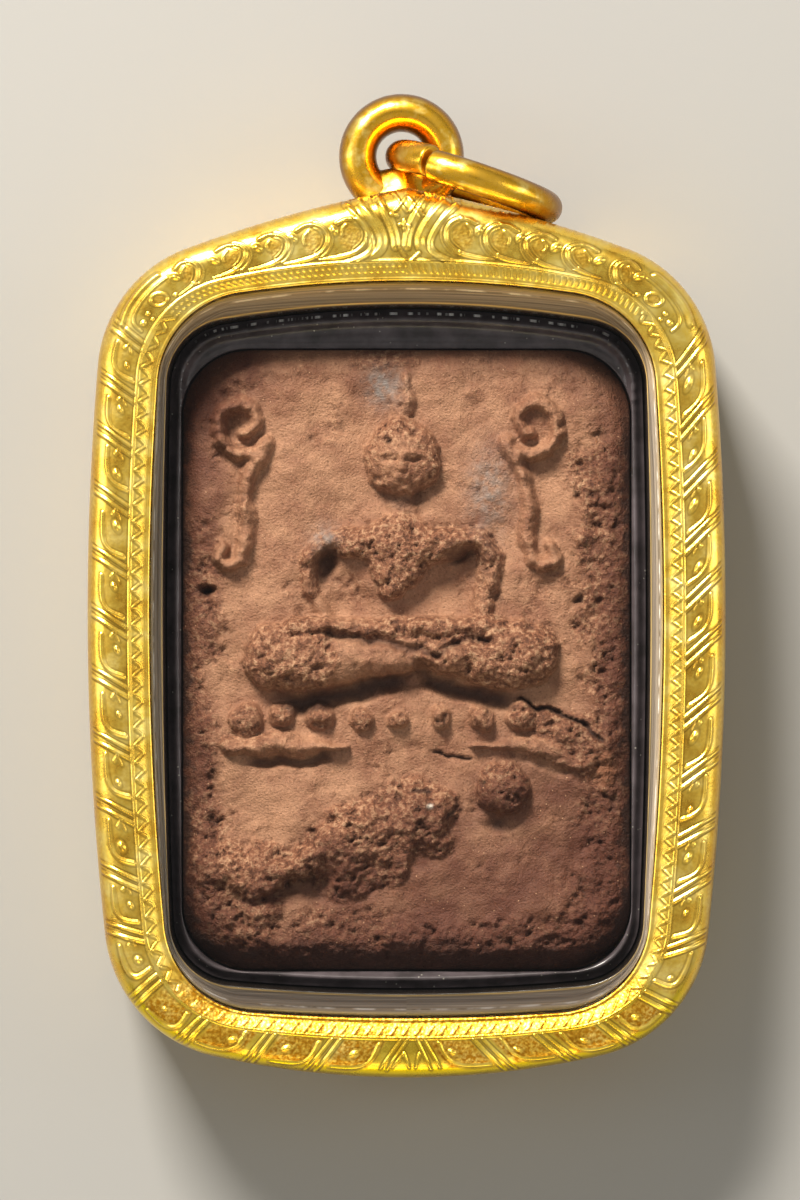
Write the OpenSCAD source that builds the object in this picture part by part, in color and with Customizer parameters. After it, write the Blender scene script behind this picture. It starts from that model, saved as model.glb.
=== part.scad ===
// Clay amulet tablet in a clear case, with a gold frame, a bail and a jump ring.
// It lies on its back: +Z is the front face, +Y points to the bail, and the
// origin is under the middle of the whole pendant.

/* [Tablet] */
// Width of the clay tablet
tablet_w = 25; // [20:0.1:32]
// Length of the clay tablet
tablet_l = 34.7; // [28:0.1:44]
// Thickness of the tablet from its back to its plain face
tablet_t = 3.6; // [2.8:0.1:5]
// Radius of the tablet's corners
tablet_corner = 3.6; // [2:0.1:4.5]
// Height of the cast figure above the plain face
relief_h = 1.5; // [1:0.1:2]
// Width over which the tablet's worn front edge rounds off
edge_round = 1.1; // [0.6:0.1:1.8]
// Lotus buds in the row under the figure
bud_count = 8; // [6:1:10]
// Radius of one lotus bud
bud_r = 0.66; // [0.4:0.02:0.8]

/* [Seat] */
// Width of the dark seat at each side of the tablet
seat_side = 1; // [0.7:0.05:1.8]
// Width of the dark seat above the tablet
seat_top = 2.4; // [1.2:0.1:3.5]
// Width of the dark seat below the tablet
seat_bottom = 1.1; // [0.8:0.05:2.5]
// How far the seat stays below the tablet's plain face
seat_drop = 0.7; // [0.3:0.1:1.5]

/* [Clear case] */
// Width of the clear wall that shows at each side
wall_side = 0.85; // [0.5:0.05:1.5]
// Width of the clear wall that shows at the top and bottom
wall_end = 1.4; // [0.8:0.05:2]
// Thickness of each clear window
window_t = 1.5; // [1:0.1:2.2]
// How far each window stands above the case's shoulder
window_step = 0.6; // [0.3:0.05:0.9]
// Free height between the figure and the front window
window_gap = 0.4; // [0.2:0.05:0.8]
// Radius of the sides of the pocket that holds the seat and the tablet
pocket_side_r = 400; // [300:10:800]

/* [Gold frame] */
// Width of the gold border at each side
border_side = 3.35; // [2.9:0.05:4.5]
// Width of the gold border below the opening
border_bottom = 3.25; // [2.9:0.05:4.5]
// Width of the gold border above the opening, at the peak
border_top = 5.1; // [4.4:0.1:7]
// Thickness of the gold wall around the case
sheet_t = 0.75; // [0.5:0.05:0.9]
// Thickness of the gold lips over the case's front and back
lip_t = 1; // [0.8:0.05:1.4]
// Width of the lower band that rims the opening
band_w = 0.95; // [0.6:0.05:1.1]
// How far that band lies below the frame's crest
band_drop = 0.35; // [0.2:0.05:0.5]
// Width of the rounding from the crest to the outer wall
round_w = 1.6; // [1.2:0.05:1.7]
// Depth of the rounding from the crest to the outer wall
round_d = 2.2; // [1.6:0.1:2.8]
// Height of the frame's widest place above its bottom edge
belly_y = 25.8; // [22:0.1:30]
// Radius of the frame's sides
side_r = 165; // [120:1:300]
// Radius of the frame's bottom edge
bottom_r = 48.5; // [40:0.5:80]
// Radius of each shoulder's curve
shoulder_r = 75.7; // [60:0.5:120]
// How far past the middle each shoulder's curve is centred
shoulder_lean = 14; // [9:0.1:18]
// Radius of the frame's lower corners
low_corner_r = 7.75; // [6.5:0.05:9]
// Radius of the frame's upper corners
top_corner_r = 7.55; // [6.5:0.05:9]

/* [Opening] */
// Radius of the opening's sides
opening_side_r = 181; // [150:1:300]
// Radius of the opening's top edge
opening_top_r = 62; // [55:0.5:100]
// Radius of the opening's bottom edge
opening_bottom_r = 107; // [90:1:200]
// Radius of the opening's corners
opening_corner_r = 5.4; // [4.6:0.05:6]

/* [Bail] */
// Outer radius of the bail
bail_r = 3.5; // [3.1:0.05:4]
// Radius of the hole through the bail
bail_hole_r = 1.4; // [1.25:0.05:1.6]
// Depth of the bail from front to back
bail_d = 3.5; // [2.6:0.1:4]
// Height of the bail's centre above the frame's peak
bail_rise = 1.95; // [1.7:0.05:2.2]
// Sideways place of the bail, as the real one was soldered
bail_x = -0.28; // [-0.6:0.02:0.6]

/* [Jump ring] */
// Radius of the jump ring to the middle of its wire
ring_r = 4.3; // [4.1:0.05:5]
// Diameter of the jump ring's wire
wire_d = 1.8; // [1.4:0.05:2]
// Width of the cut between the wire's ends
cut_w = 0.2; // [0.1:0.05:0.5]
// Place of the cut, in degrees round the ring from its far side
cut_at = 125; // [100:1:140]

/* [Fit] */
// Clearance between neighbouring pieces
fit = 0.1; // [0.05:0.01:0.2]
// Clearance under the jump ring where it lies on the frame's shoulder
ring_fit = 0.15; // [0.1:0.01:0.3]

/* [Hidden] */
$fn = 64;

// Depths, measured both ways from the middle of the case
pocket_half = (fit + tablet_t + relief_h + window_gap) / 2;
window_half = pocket_half + window_t;
shoulder_half = window_half - window_step;
lip_half = shoulder_half + fit;
crest_half = lip_half + lip_t;
band_half = crest_half - band_drop;
mid_z = crest_half;
tablet_z = mid_z - pocket_half + fit;

// Heights along Y, from the bottom edge of the frame
frame_l = border_bottom + wall_end + seat_bottom + tablet_l + seat_top + wall_end + border_top;
total_l = frame_l + bail_rise + bail_r;
low_y = -total_l / 2;
peak_y = low_y + frame_l;
opening_low = low_y + border_bottom;
opening_top = peak_y - border_top;
pocket_low = opening_low + wall_end;
pocket_top = opening_top - wall_end;
tablet_y = pocket_low + seat_bottom + tablet_l / 2;
bail_y = peak_y + bail_rise;

// Half widths
tablet_half = tablet_w / 2;
pocket_w = tablet_half + seat_side;
opening_w = pocket_w + wall_side;
frame_half = opening_w + border_side;

// An outline is the list of arcs up its right half: [centre, radius, from, to].
// The right half is mirrored for the left.
function polar(r, a) = [r * cos(a), r * sin(a)];
function turn(p, q) = atan2(q.y - p.y, q.x - p.x);
// Centre of a corner of radius r that lies inside two larger circles
function corner(c1, r1, c2, r2, r) =
    let (d = norm(c2 - c1), u = (c2 - c1) / d, n = [-u.y, u.x],
         along = ((r1 - r) ^ 2 - (r2 - r) ^ 2 + d ^ 2) / (2 * d),
         out = sqrt(max(0, (r1 - r) ^ 2 - along ^ 2)),
         p = c1 + u * along + n * out, q = c1 + u * along - n * out)
    p.x > q.x ? p : q;
function outline(half_w, low, top, rs, rb, rt, lean, corner_low, corner_top) =
    let (cs = [half_w - rs, low_y + belly_y],
         cb = [0, low + rb],
         ct = [-lean, top - sqrt(rt ^ 2 - lean ^ 2)],
         lo = corner(cs, rs, cb, rb, corner_low),
         hi = corner(cs, rs, ct, rt, corner_top))
    [[cb, rb, -90, turn(cb, lo)],
     [lo, corner_low, turn(cb, lo), turn(cs, lo)],
     [cs, rs, turn(cs, lo), turn(cs, hi)],
     [hi, corner_top, turn(cs, hi), turn(ct, hi)],
     [ct, rt, turn(ct, hi), acos(lean / rt)]];
// Points along an outline that is moved inwards by inset, all the way round from the
// bottom middle, with each point drawn once
arc_steps = [10, 10, 12, 10, 10];
function arc_points(arcs, i, inset) =
    let (arc = arcs[i], r = arc[1] - inset, to = i < 4 ? arc[3] : acos(-arc[0].x / r))
    [for (k = [i == 0 ? 0 : 1:arc_steps[i]])
        arc[0] + polar(r, arc[2] + (to - arc[2]) * k / arc_steps[i])];
function loop_points(arcs, inset = 0) =
    let (right = [for (i = [0:4]) for (p = arc_points(arcs, i, inset)) p])
    concat(right, [for (k = [len(right) - 2:-1:1]) [-right[k].x, right[k].y]]);
module filled(arcs, inset = 0) {
    polygon(loop_points(arcs, inset));
}

frame_arcs = outline(frame_half, low_y, peak_y, side_r, bottom_r, shoulder_r, shoulder_lean,
                     low_corner_r, top_corner_r);
opening_arcs = outline(opening_w, opening_low, opening_top, opening_side_r, opening_bottom_r,
                       opening_top_r, 0, opening_corner_r, opening_corner_r);
// The pocket's corners are the tablet's own, so that the seat goes all the way round
pocket_arcs = outline(pocket_w, pocket_low, pocket_top, pocket_side_r, opening_bottom_r,
                      opening_top_r, 0, tablet_corner, tablet_corner);

// A slab between two depths, measured from the middle of the case
module slab(z0, z1) {
    translate([0, 0, mid_z + z0]) linear_extrude(z1 - z0) children();
}

// Gold frame: a channel that holds the case's edge, with lips over its two faces.
// Each ring of its surface is an outline, an inset and a depth, from the outer wall
// over the crest and the lower band to the inside of the channel.
round_steps = 6;
front_rings = concat(
    [for (k = [0:round_steps]) let (a = 90 * k / round_steps)
        [frame_arcs, round_w * (1 - cos(a)), crest_half - round_d * (1 - sin(a))]],
    [[opening_arcs, -band_w, crest_half],
     [opening_arcs, -band_w, band_half],
     [opening_arcs, 0, band_half],
     [opening_arcs, 0, lip_half],
     [frame_arcs, sheet_t, lip_half]]);
frame_rings = concat(front_rings,
    [for (k = [len(front_rings) - 1:-1:0]) let (r = front_rings[k]) [r[0], r[1], -r[2]]]);
module channel() {
    loops = [for (r = frame_rings) [for (p = loop_points(r[0], r[1])) [p.x, p.y, mid_z + r[2]]]];
    n = len(loops[0]);
    m = len(loops);
    polyhedron([for (l = loops) each l],
        [for (j = [0:m - 1]) for (k = [0:n - 1])
            let (a = j * n + k, b = j * n + (k + 1) % n,
                 c = (j + 1) % m * n + (k + 1) % n, d = (j + 1) % m * n + k)
            each [[a, c, b], [a, d, c]]]);
}
bail_sides = 24;
module bail() {
    ring = (bail_r + bail_hole_r) / 2;
    wall = (bail_r - bail_hole_r) / 2;
    translate([bail_x, bail_y, mid_z])
        rotate_extrude()
            polygon([for (k = [1:bail_sides]) let (a = 360 * k / bail_sides)
                [ring + wall * cos(a), bail_d / 2 * sin(a)]]);
}
// The bail is soldered on to the channel's wall and stops inside it
module gold_frame() {
    color("gold") union() {
        channel();
        difference() {
            bail();
            slab(-lip_half, lip_half) filled(frame_arcs, sheet_t / 2);
        }
    }
}

// Jump ring: it passes through the bail and lies on the right shoulder
far = 2 * ring_r;
shoulder_c = frame_arcs[4][0];
bail_c = [bail_x, bail_y];
reach = norm(bail_c - shoulder_c);
rest_r = shoulder_r + wire_d / 2 + ring_fit;
ring_lie = turn(shoulder_c, bail_c) - acos((rest_r ^ 2 - reach ^ 2 - far ^ 2) / (2 * reach * far));
cut_half = asin(cut_w / 2 / ring_r);
module jump_ring() {
    color("goldenrod")
        translate([bail_x, bail_y, ring_r + wire_d / 2 + fit / 2])
            rotate([90, 0, ring_lie]) translate([ring_r, 0, 0])
                rotate_extrude(angle = 360 - 2 * cut_half, start = cut_at + cut_half)
                    translate([ring_r, 0]) circle(wire_d / 2);
}

// Clear case: two halves that meet at the middle, hollow for the tablet
module case_half(from) {
    difference() {
        union() {
            slab(from, shoulder_half) filled(frame_arcs, sheet_t + fit);
            slab(from, window_half) filled(opening_arcs, fit);
        }
        slab(-fit, pocket_half) filled(pocket_arcs);
    }
}
module case_front() {
    color("lightgray", 0.4) case_half(fit / 2);
}
module case_back() {
    color("lightgray", 0.4) translate([0, 0, 2 * mid_z]) mirror([0, 0, 1]) case_half(fit / 2);
}

// Tablet: a slab of fired clay whose face is worked out point by point from its cast forms.
// In the tables, places are shares of half the tablet's width and half its length,
// radii are shares of half its width, and heights are shares of relief_h.
// Columns: [x, y, radius] of one end, [x, y, radius] of the other, height
figure = [
    // head, topknot and its tip
    [[-0.02, 0.62, 0.17], [-0.02, 0.66, 0.17], 0.85],
    [[-0.03, 0.79, 0.08], [-0.03, 0.86, 0.06], 0.34],
    [[-0.03, 0.86, 0.05], [-0.03, 0.92, 0.03], 0.26],
    // neck, shoulders and chest
    [[-0.02, 0.55, 0.08], [-0.02, 0.44, 0.09], 0.5],
    [[-0.3, 0.39, 0.09], [0, 0.4, 0.13], 0.68],
    [[0.3, 0.39, 0.09], [0, 0.4, 0.13], 0.68],
    [[0, 0.37, 0.2], [0, 0.17, 0.09], 0.82],
    // arms, down to the hands in the lap
    [[-0.32, 0.37, 0.08], [-0.4, 0.26, 0.07], 0.6],
    [[-0.4, 0.26, 0.07], [-0.37, 0.1, 0.06], 0.5],
    [[-0.37, 0.1, 0.06], [-0.13, 0.08, 0.06], 0.44],
    [[0.34, 0.37, 0.08], [0.4, 0.26, 0.07], 0.6],
    [[0.4, 0.26, 0.07], [0.37, 0.1, 0.06], 0.5],
    [[0.37, 0.1, 0.06], [0.13, 0.08, 0.06], 0.44],
    [[-0.17, 0.08, 0.07], [0.14, 0.08, 0.07], 0.6],
    // crossed legs and knees
    [[-0.55, 0.015, 0.16], [-0.42, -0.01, 0.18], 0.95],
    [[0.53, 0.01, 0.16], [0.37, -0.01, 0.17], 0.95],
    [[-0.42, -0.015, 0.14], [0.1, 0.025, 0.09], 0.75],
    [[0.38, -0.015, 0.13], [-0.12, 0.025, 0.09], 0.75],
    // two low steps of the throne
    [[-0.79, -0.29, 0.02], [-0.56, -0.292, 0.045], 0.42],
    [[-0.56, -0.292, 0.045], [-0.32, -0.297, 0.015], 0.42],
    [[0.24, -0.27, 0.02], [0.44, -0.28, 0.04], 0.36],
    [[0.44, -0.28, 0.04], [0.69, -0.34, 0.02], 0.36],
    // knob, and the worn ridge across the foot
    [[0.41, -0.445, 0.12], [0.41, -0.44, 0.12], 0.7],
    [[-0.95, -0.71, 0.1], [-0.6, -0.65, 0.11], 0.42],
    [[-0.6, -0.65, 0.11], [-0.29, -0.54, 0.13], 0.48],
    [[-0.29, -0.54, 0.13], [0.05, -0.47, 0.17], 0.55],
    [[0.05, -0.47, 0.17], [0.13, -0.7, 0.12], 0.4],
];
// Row of buds: its two ends, and the height of a bud
bud_row = [[-0.73, -0.178], [0.52, -0.178]];
bud_h = 0.42;
buds = [for (k = [0:bud_count - 1])
    let (c = bud_row[0] + (bud_row[1] - bud_row[0]) * k / (bud_count - 1),
         bud = [c.x, c.y, bud_r / tablet_half])
    [bud, bud, bud_h]];
// Vine at each side of the figure: a curl that winds in over a stem with two leaves
vine_h = 0.3;
curl_c = [0.57, 0.77];
curl_r = [0.12, 0.072]; // at the stem and at the tip
curl_from = 235;
curl_turn = 300;
curl_wire = 0.032;
curl_steps = 7;
curl = [for (k = [0:curl_steps])
    let (t = k / curl_steps, a = curl_from - curl_turn * t, r = curl_r[0] + (curl_r[1] - curl_r[0]) * t)
    [curl_c.x + r * cos(a), curl_c.y + r * sin(a) * tablet_w / tablet_l, curl_wire]];
stem = [[0.5, 0.7, 0.035], [0.58, 0.6, 0.03], [0.56, 0.47, 0.03], [0.62, 0.33, 0.025]];
leaves = [[[0.58, 0.58, 0.04], [0.68, 0.64, 0.015]], [[0.56, 0.45, 0.04], [0.48, 0.52, 0.015]]];
vine = concat([for (k = [1:curl_steps]) [curl[k - 1], curl[k], vine_h]],
    [for (k = [1:3]) [stem[k - 1], stem[k], vine_h]],
    [for (leaf = leaves) [leaf[0], leaf[1], vine_h]]);
function mirrored(rows) =
    [for (r = rows) [[-r[0].x, r[0].y, r[0].z], [-r[1].x, r[1].y, r[1].z], r[2]]];
forms = [for (r = concat(figure, buds, vine, mirrored(vine)))
    [[r[0].x * tablet_half, r[0].y * tablet_l / 2], r[0].z * tablet_half,
     [r[1].x * tablet_half, r[1].y * tablet_l / 2], r[1].z * tablet_half, r[2] * relief_h]];
// Height of one form over a point: a dome over a line that tapers from end to end.
// A higher power makes the dome's top flatter and its sides steeper.
dome_power = 2.4;
function dome(f, p) =
    let (v = f[2] - f[0], s = v * v > 0 ? min(1, max(0, (p - f[0]) * v / (v * v))) : 0,
         r = f[1] + (f[3] - f[1]) * s, q = norm(p - f[0] - v * s) / r)
    q < 1 ? f[4] * sqrt(1 - q ^ dome_power) : 0;
// How far the worn edge falls away, as a share of edge_round
edge_drop = 0.75;
function edge_fall(d) = d >= edge_round ? 0 : edge_drop * (edge_round - d) ^ 2 / edge_round;
function face_height(p) =
    let (d = min(half_at(p.y) - abs(p.x), tablet_l / 2 - abs(p.y)))
    max([for (f = forms) dome(f, p)]) * min(1, max(0, d) / edge_round) - edge_fall(max(0, d));
// Half width of the tablet at a place along its length
function half_at(y) =
    let (over = abs(y) - (tablet_l / 2 - tablet_corner))
    over <= 0 ? tablet_half
        : tablet_half - tablet_corner + sqrt(max(0, tablet_corner ^ 2 - over ^ 2));
columns = 52;
rows = 58;
corner_rows = 6;
straight = tablet_l / 2 - tablet_corner;
row_y = concat(
    [for (k = [0:corner_rows - 1]) -straight - tablet_corner * cos(90 * k / corner_rows)],
    [for (k = [0:rows]) -straight + 2 * straight * k / rows],
    [for (k = [1:corner_rows]) straight + tablet_corner * sin(90 * k / corner_rows)]);
module tablet() {
    nx = columns + 1;
    ny = len(row_y);
    face = [for (y = row_y) for (i = [0:columns])
        let (x = half_at(y) * (2 * i / columns - 1)) [x, y, tablet_t + face_height([x, y])]];
    rim = concat(
        [for (i = [0:columns]) i],
        [for (j = [1:ny - 1]) j * nx + columns],
        [for (i = [columns - 1:-1:0]) (ny - 1) * nx + i],
        [for (j = [ny - 2:-1:1]) j * nx]);
    m = len(rim);
    back = [for (k = rim) [face[k].x, face[k].y, 0]];
    base = nx * ny;
    middle = base + m;
    front_faces = [for (j = [0:ny - 2]) for (i = [0:columns - 1]) let (a = j * nx + i)
        for (t = (i + j) % 2 == 0
            ? [[a, a + nx, a + nx + 1], [a, a + nx + 1, a + 1]]
            : [[a, a + nx, a + 1], [a + 1, a + nx, a + nx + 1]]) t];
    side_faces = [for (k = [0:m - 1]) let (n = (k + 1) % m)
        for (t = [[rim[k], rim[n], base + n], [rim[k], base + n, base + k]]) t];
    back_faces = [for (k = [0:m - 1]) [base + k, base + (k + 1) % m, middle]];
    color("rosybrown") translate([0, tablet_y, tablet_z])
        polyhedron(concat(face, back, [[0, 0, 0]]), concat(front_faces, side_faces, back_faces));
}

// Seat: a dark ring that fills the pocket around the tablet and holds it in the middle
seat_corner_steps = 8;
function tablet_points(out) =
    let (x = tablet_half - tablet_corner, y = straight, r = tablet_corner + out)
    [for (q = [[1, 1, 0], [-1, 1, 90], [-1, -1, 180], [1, -1, 270]])
        for (k = [0:seat_corner_steps])
            [q.x * x, tablet_y + q.y * y] + polar(r, q.z + 90 * k / seat_corner_steps)];
module seat() {
    color("dimgray") translate([0, 0, tablet_z])
        linear_extrude(tablet_t - seat_drop) difference() {
            filled(pocket_arcs, fit);
            polygon(tablet_points(fit));
        }
}

gold_frame();
jump_ring();
case_front();
case_back();
seat();
tablet();
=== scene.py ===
import math
import random

import bmesh
import bpy
import numpy as np
from mathutils import Matrix, Vector, noise


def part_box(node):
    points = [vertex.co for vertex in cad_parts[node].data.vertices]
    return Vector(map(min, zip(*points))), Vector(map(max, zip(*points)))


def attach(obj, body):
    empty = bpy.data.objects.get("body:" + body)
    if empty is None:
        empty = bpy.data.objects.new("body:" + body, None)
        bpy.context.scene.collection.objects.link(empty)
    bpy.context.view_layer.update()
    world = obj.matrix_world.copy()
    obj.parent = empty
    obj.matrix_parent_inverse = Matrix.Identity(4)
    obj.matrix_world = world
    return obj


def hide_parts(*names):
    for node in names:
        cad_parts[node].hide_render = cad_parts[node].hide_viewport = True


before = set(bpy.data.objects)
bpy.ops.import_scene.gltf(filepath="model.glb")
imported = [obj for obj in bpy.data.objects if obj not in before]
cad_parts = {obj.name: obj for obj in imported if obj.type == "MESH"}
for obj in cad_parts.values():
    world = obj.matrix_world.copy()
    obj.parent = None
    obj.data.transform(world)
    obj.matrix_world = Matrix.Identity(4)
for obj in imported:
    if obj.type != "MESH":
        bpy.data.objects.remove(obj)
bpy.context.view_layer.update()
mm = 0.001
print("frame loaded")


def boxOf(node):
    low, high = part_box(node)
    return np.array(low) / mm, np.array(high) / mm


goldLow, goldHigh = boxOf("gold_frame")
tabletLow, tabletHigh = boxOf("tablet")
seatLow, seatHigh = boxOf("seat")
caseHigh = boxOf("case_front")[1]
midZ = (goldLow[2] + goldHigh[2]) / 2


# Colour and nodes

def linear(hexColor):
    parts = [int(hexColor[i:i + 2], 16) / 255 for i in (1, 3, 5)]
    return tuple(p / 12.92 if p <= 0.04045 else ((p + 0.055) / 1.055) ** 2.4 for p in parts) + (1.0,)


def addNode(tree, kind, settings=None, inputs=None, stops=None):
    node = tree.nodes.new("ShaderNode" + kind)
    for name, value in (settings or {}).items():
        setattr(node, name, value)
    for name, value in (inputs or {}).items():
        if isinstance(value, bpy.types.NodeSocket):
            tree.links.new(value, node.inputs[name])
        else:
            node.inputs[name].default_value = value
    if stops:
        while len(node.color_ramp.elements) < len(stops):
            node.color_ramp.elements.new(0.5)
        for element, (position, color) in zip(node.color_ramp.elements, stops):
            element.position = position
            element.color = color
    return node


def newMaterial(name):
    material = bpy.data.materials.new(name)
    material.use_nodes = True
    material.node_tree.nodes.clear()
    return material, material.node_tree


def perMetre(size):
    return 1 / (size * mm)  # texture scale whose cells are this many millimetres


# High-carat gold, stamped, chased with a graver and rubbed by wear: a full lemon yellow with white
# glints on the raised lines, amber in the sunk grounds and brown in the graver's cuts, dirt and painted
# shade. Amber is also painted as shade on the sides' outer margin and the band's foot, painted shade
# browns it where it turns from the eye, and a painted glare makes the foot's outer margin a brighter
# lemon. The sizes and depths of its tool marks are in millimetres.
goldFinish = {
    "color": "#FFD659", "warm": "#F8BF40", "pale": "#FFE685", "amber": "#C0841F", "cut": "#7A4C12",
    "paintedLemonGlare": "#FFE01C", "edge": 0.18, "rough": 0.27, "matted": 0.4, "patchSize": 1.8, "mottleSize": 0.2,
    "toolSize": 0.2, "toolDeep": 0.022, "punchSize": 0.17, "punchDeep": 0.035,
}


def goldMaterial(name, finish):
    material, tree = newMaterial(name)
    place = addNode(tree, "TexCoord").outputs["Object"]
    mattedGroundAndShade, cutDirtAndShade, paintedLemonGlare = (addNode(tree, "Attribute", {"attribute_name": mark}).outputs["Fac"]
                             for mark in ("mattedGroundAndShade", "cutDirtAndShade", "paintedLemonGlare"))
    patch = addNode(tree, "TexNoise", None, {
        "Vector": place, "Scale": perMetre(finish["patchSize"]), "Detail": 5.0, "Roughness": 0.65})
    tool = addNode(tree, "TexNoise", None, {
        "Vector": place, "Scale": perMetre(finish["toolSize"]), "Detail": 4.0, "Roughness": 0.6})
    punch = addNode(tree, "TexVoronoi", None, {
        "Vector": place, "Scale": perMetre(finish["punchSize"]), "Randomness": 0.9})
    tone = addNode(tree, "ValToRGB", None, {"Fac": patch.outputs["Fac"]}, [
        (0.34, linear(finish["warm"])), (0.5, linear(finish["color"])), (0.7, linear(finish["pale"]))])
    # the sunk ground is mottled with old polish
    mottle = addNode(tree, "TexNoise", None, {
        "Vector": place, "Scale": perMetre(finish["mottleSize"]), "Detail": 3.0})
    spots = addNode(tree, "MapRange", None, {
        "Value": mottle.outputs["Fac"], "From Min": 0.36, "From Max": 0.62, "To Min": 0.25, "To Max": 1.25})
    dirty = addNode(tree, "Math", {"operation": "MULTIPLY", "use_clamp": True}, {
        0: mattedGroundAndShade, 1: spots.outputs["Result"]})
    # painted glare: a brighter lemon yellow where the foot's outer margin catches the lamps
    glareTinted = addNode(tree, "Mix", {"data_type": "RGBA"}, {
        0: paintedLemonGlare, 6: tone.outputs["Color"], 7: linear(finish["paintedLemonGlare"])})
    sunk = addNode(tree, "Mix", {"data_type": "RGBA"}, {
        0: dirty.outputs["Value"], 6: glareTinted.outputs[2], 7: linear(finish["amber"])})
    # painted shade: browner, towards the cut colour, where the surface turns from the eye
    facing = addNode(tree, "LayerWeight", None, {"Blend": 0.5})
    turned = addNode(tree, "MapRange", None, {
        "Value": facing.outputs["Facing"], "From Min": 0.2, "From Max": 0.75, "To Max": finish["edge"]})
    rounded = addNode(tree, "Mix", {"data_type": "RGBA"}, {
        0: turned.outputs["Result"], 6: sunk.outputs[2], 7: linear(finish["cut"])})
    lined = addNode(tree, "Mix", {"data_type": "RGBA"}, {
        0: cutDirtAndShade, 6: rounded.outputs[2], 7: linear(finish["cut"])})
    rough = addNode(tree, "MapRange", None, {
        "Value": mattedGroundAndShade, "To Min": finish["rough"], "To Max": finish["matted"]})
    spread = addNode(tree, "MapRange", None, {
        "Value": patch.outputs["Fac"], "From Min": 0.35, "From Max": 0.7, "To Min": -0.04, "To Max": 0.08})
    total = addNode(tree, "Math", {"operation": "ADD"}, {
        0: rough.outputs["Result"], 1: spread.outputs["Result"]})
    matting = addNode(tree, "Math", {"operation": "MULTIPLY"}, {0: punch.outputs["Distance"], 1: mattedGroundAndShade})
    matted = addNode(tree, "Bump", None, {
        "Strength": 0.6, "Distance": finish["punchDeep"] * mm, "Height": matting.outputs["Value"]})
    worked = addNode(tree, "Bump", None, {
        "Strength": 0.4, "Distance": finish["toolDeep"] * mm, "Height": tool.outputs["Fac"],
        "Normal": matted.outputs["Normal"]})
    shader = addNode(tree, "BsdfPrincipled", None, {
        "Base Color": lined.outputs[2], "Metallic": 1.0, "Roughness": total.outputs["Value"],
        "Normal": worked.outputs["Normal"]})
    addNode(tree, "OutputMaterial", None, {"Surface": shader.outputs["BSDF"]})
    return material


# Cast acrylic: clear and colourless, seen only by its reflections, which grow from "faceOn" where
# it faces the eye towards its edge
acrylicFinish = {"clear": (0.985, 0.985, 0.975, 1), "rough": 0.03, "faceOn": 0.03, "edgeOn": 0.9, "power": 5.0}


def acrylicMaterial():
    finish = acrylicFinish
    material, tree = newMaterial("castAcrylic")
    turned = addNode(tree, "LayerWeight", None, {"Blend": 0.5}).outputs["Facing"]
    steep = addNode(tree, "Math", {"operation": "POWER"}, {0: turned, 1: finish["power"]})
    share = addNode(tree, "Math", {"operation": "MULTIPLY_ADD"}, {
        0: steep.outputs["Value"], 1: finish["edgeOn"], 2: finish["faceOn"]})
    clear = addNode(tree, "BsdfTransparent", None, {"Color": finish["clear"]})
    gloss = addNode(tree, "BsdfPrincipled", None, {
        "Base Color": (1, 1, 1, 1), "Metallic": 1.0, "Roughness": finish["rough"]})
    both = addNode(tree, "MixShader", None, {
        0: share.outputs["Value"], 1: clear.outputs["BSDF"], 2: gloss.outputs["BSDF"]})
    addNode(tree, "OutputMaterial", None, {"Surface": both.outputs["Shader"]})
    return material


# Sawn and polished edge of the acrylic. Its colours are painted reflections and shade: the gold's olive by
# the lip and grey further in, with fine lines along the edge and a broken white one that is a painted highlight
edgeFinish = {
    # share of the way in from the lip, and the colour there, painted reflection and shade
    "across": [(0.0, "#8F782A"), (0.14, "#B59D60"), (0.3, "#A5937C"), (0.62, "#8D8175"), (0.86, "#746653"),
               (0.91, "#C4A565"), (0.97, "#352B22")],
    # streaks: how many to the millimetre along and across the edge, and how dark and light they are
    "streaks": (0.07, 11.0, 1.0), "streakDeep": 0.02,
    "streakTones": [(0.36, (0.5, 0.49, 0.47, 1)), (0.48, (0.85, 0.85, 0.85, 1)), (0.58, (1.1, 1.1, 1.1, 1)),
                    (0.68, (1.7, 1.72, 1.76, 1))],
    "line": "#DAD3C8", "lineAt": 0.36, "lineWide": 0.035, "rough": 0.25, "ior": 1.49,
    # painted: a reflection of the gold's colour at the top, and shade going grey and dark towards the foot
    "foot": -23, "top": 17, "paintedGlowAndShade": [(0.0, (0.3, 0.29, 0.3, 1)), (0.12, (1.0, 1.0, 1.0, 1)),
                                      (0.82, (1.0, 1.0, 1.0, 1)), (1.0, (1.9, 1.55, 0.95, 1))],
}


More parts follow.
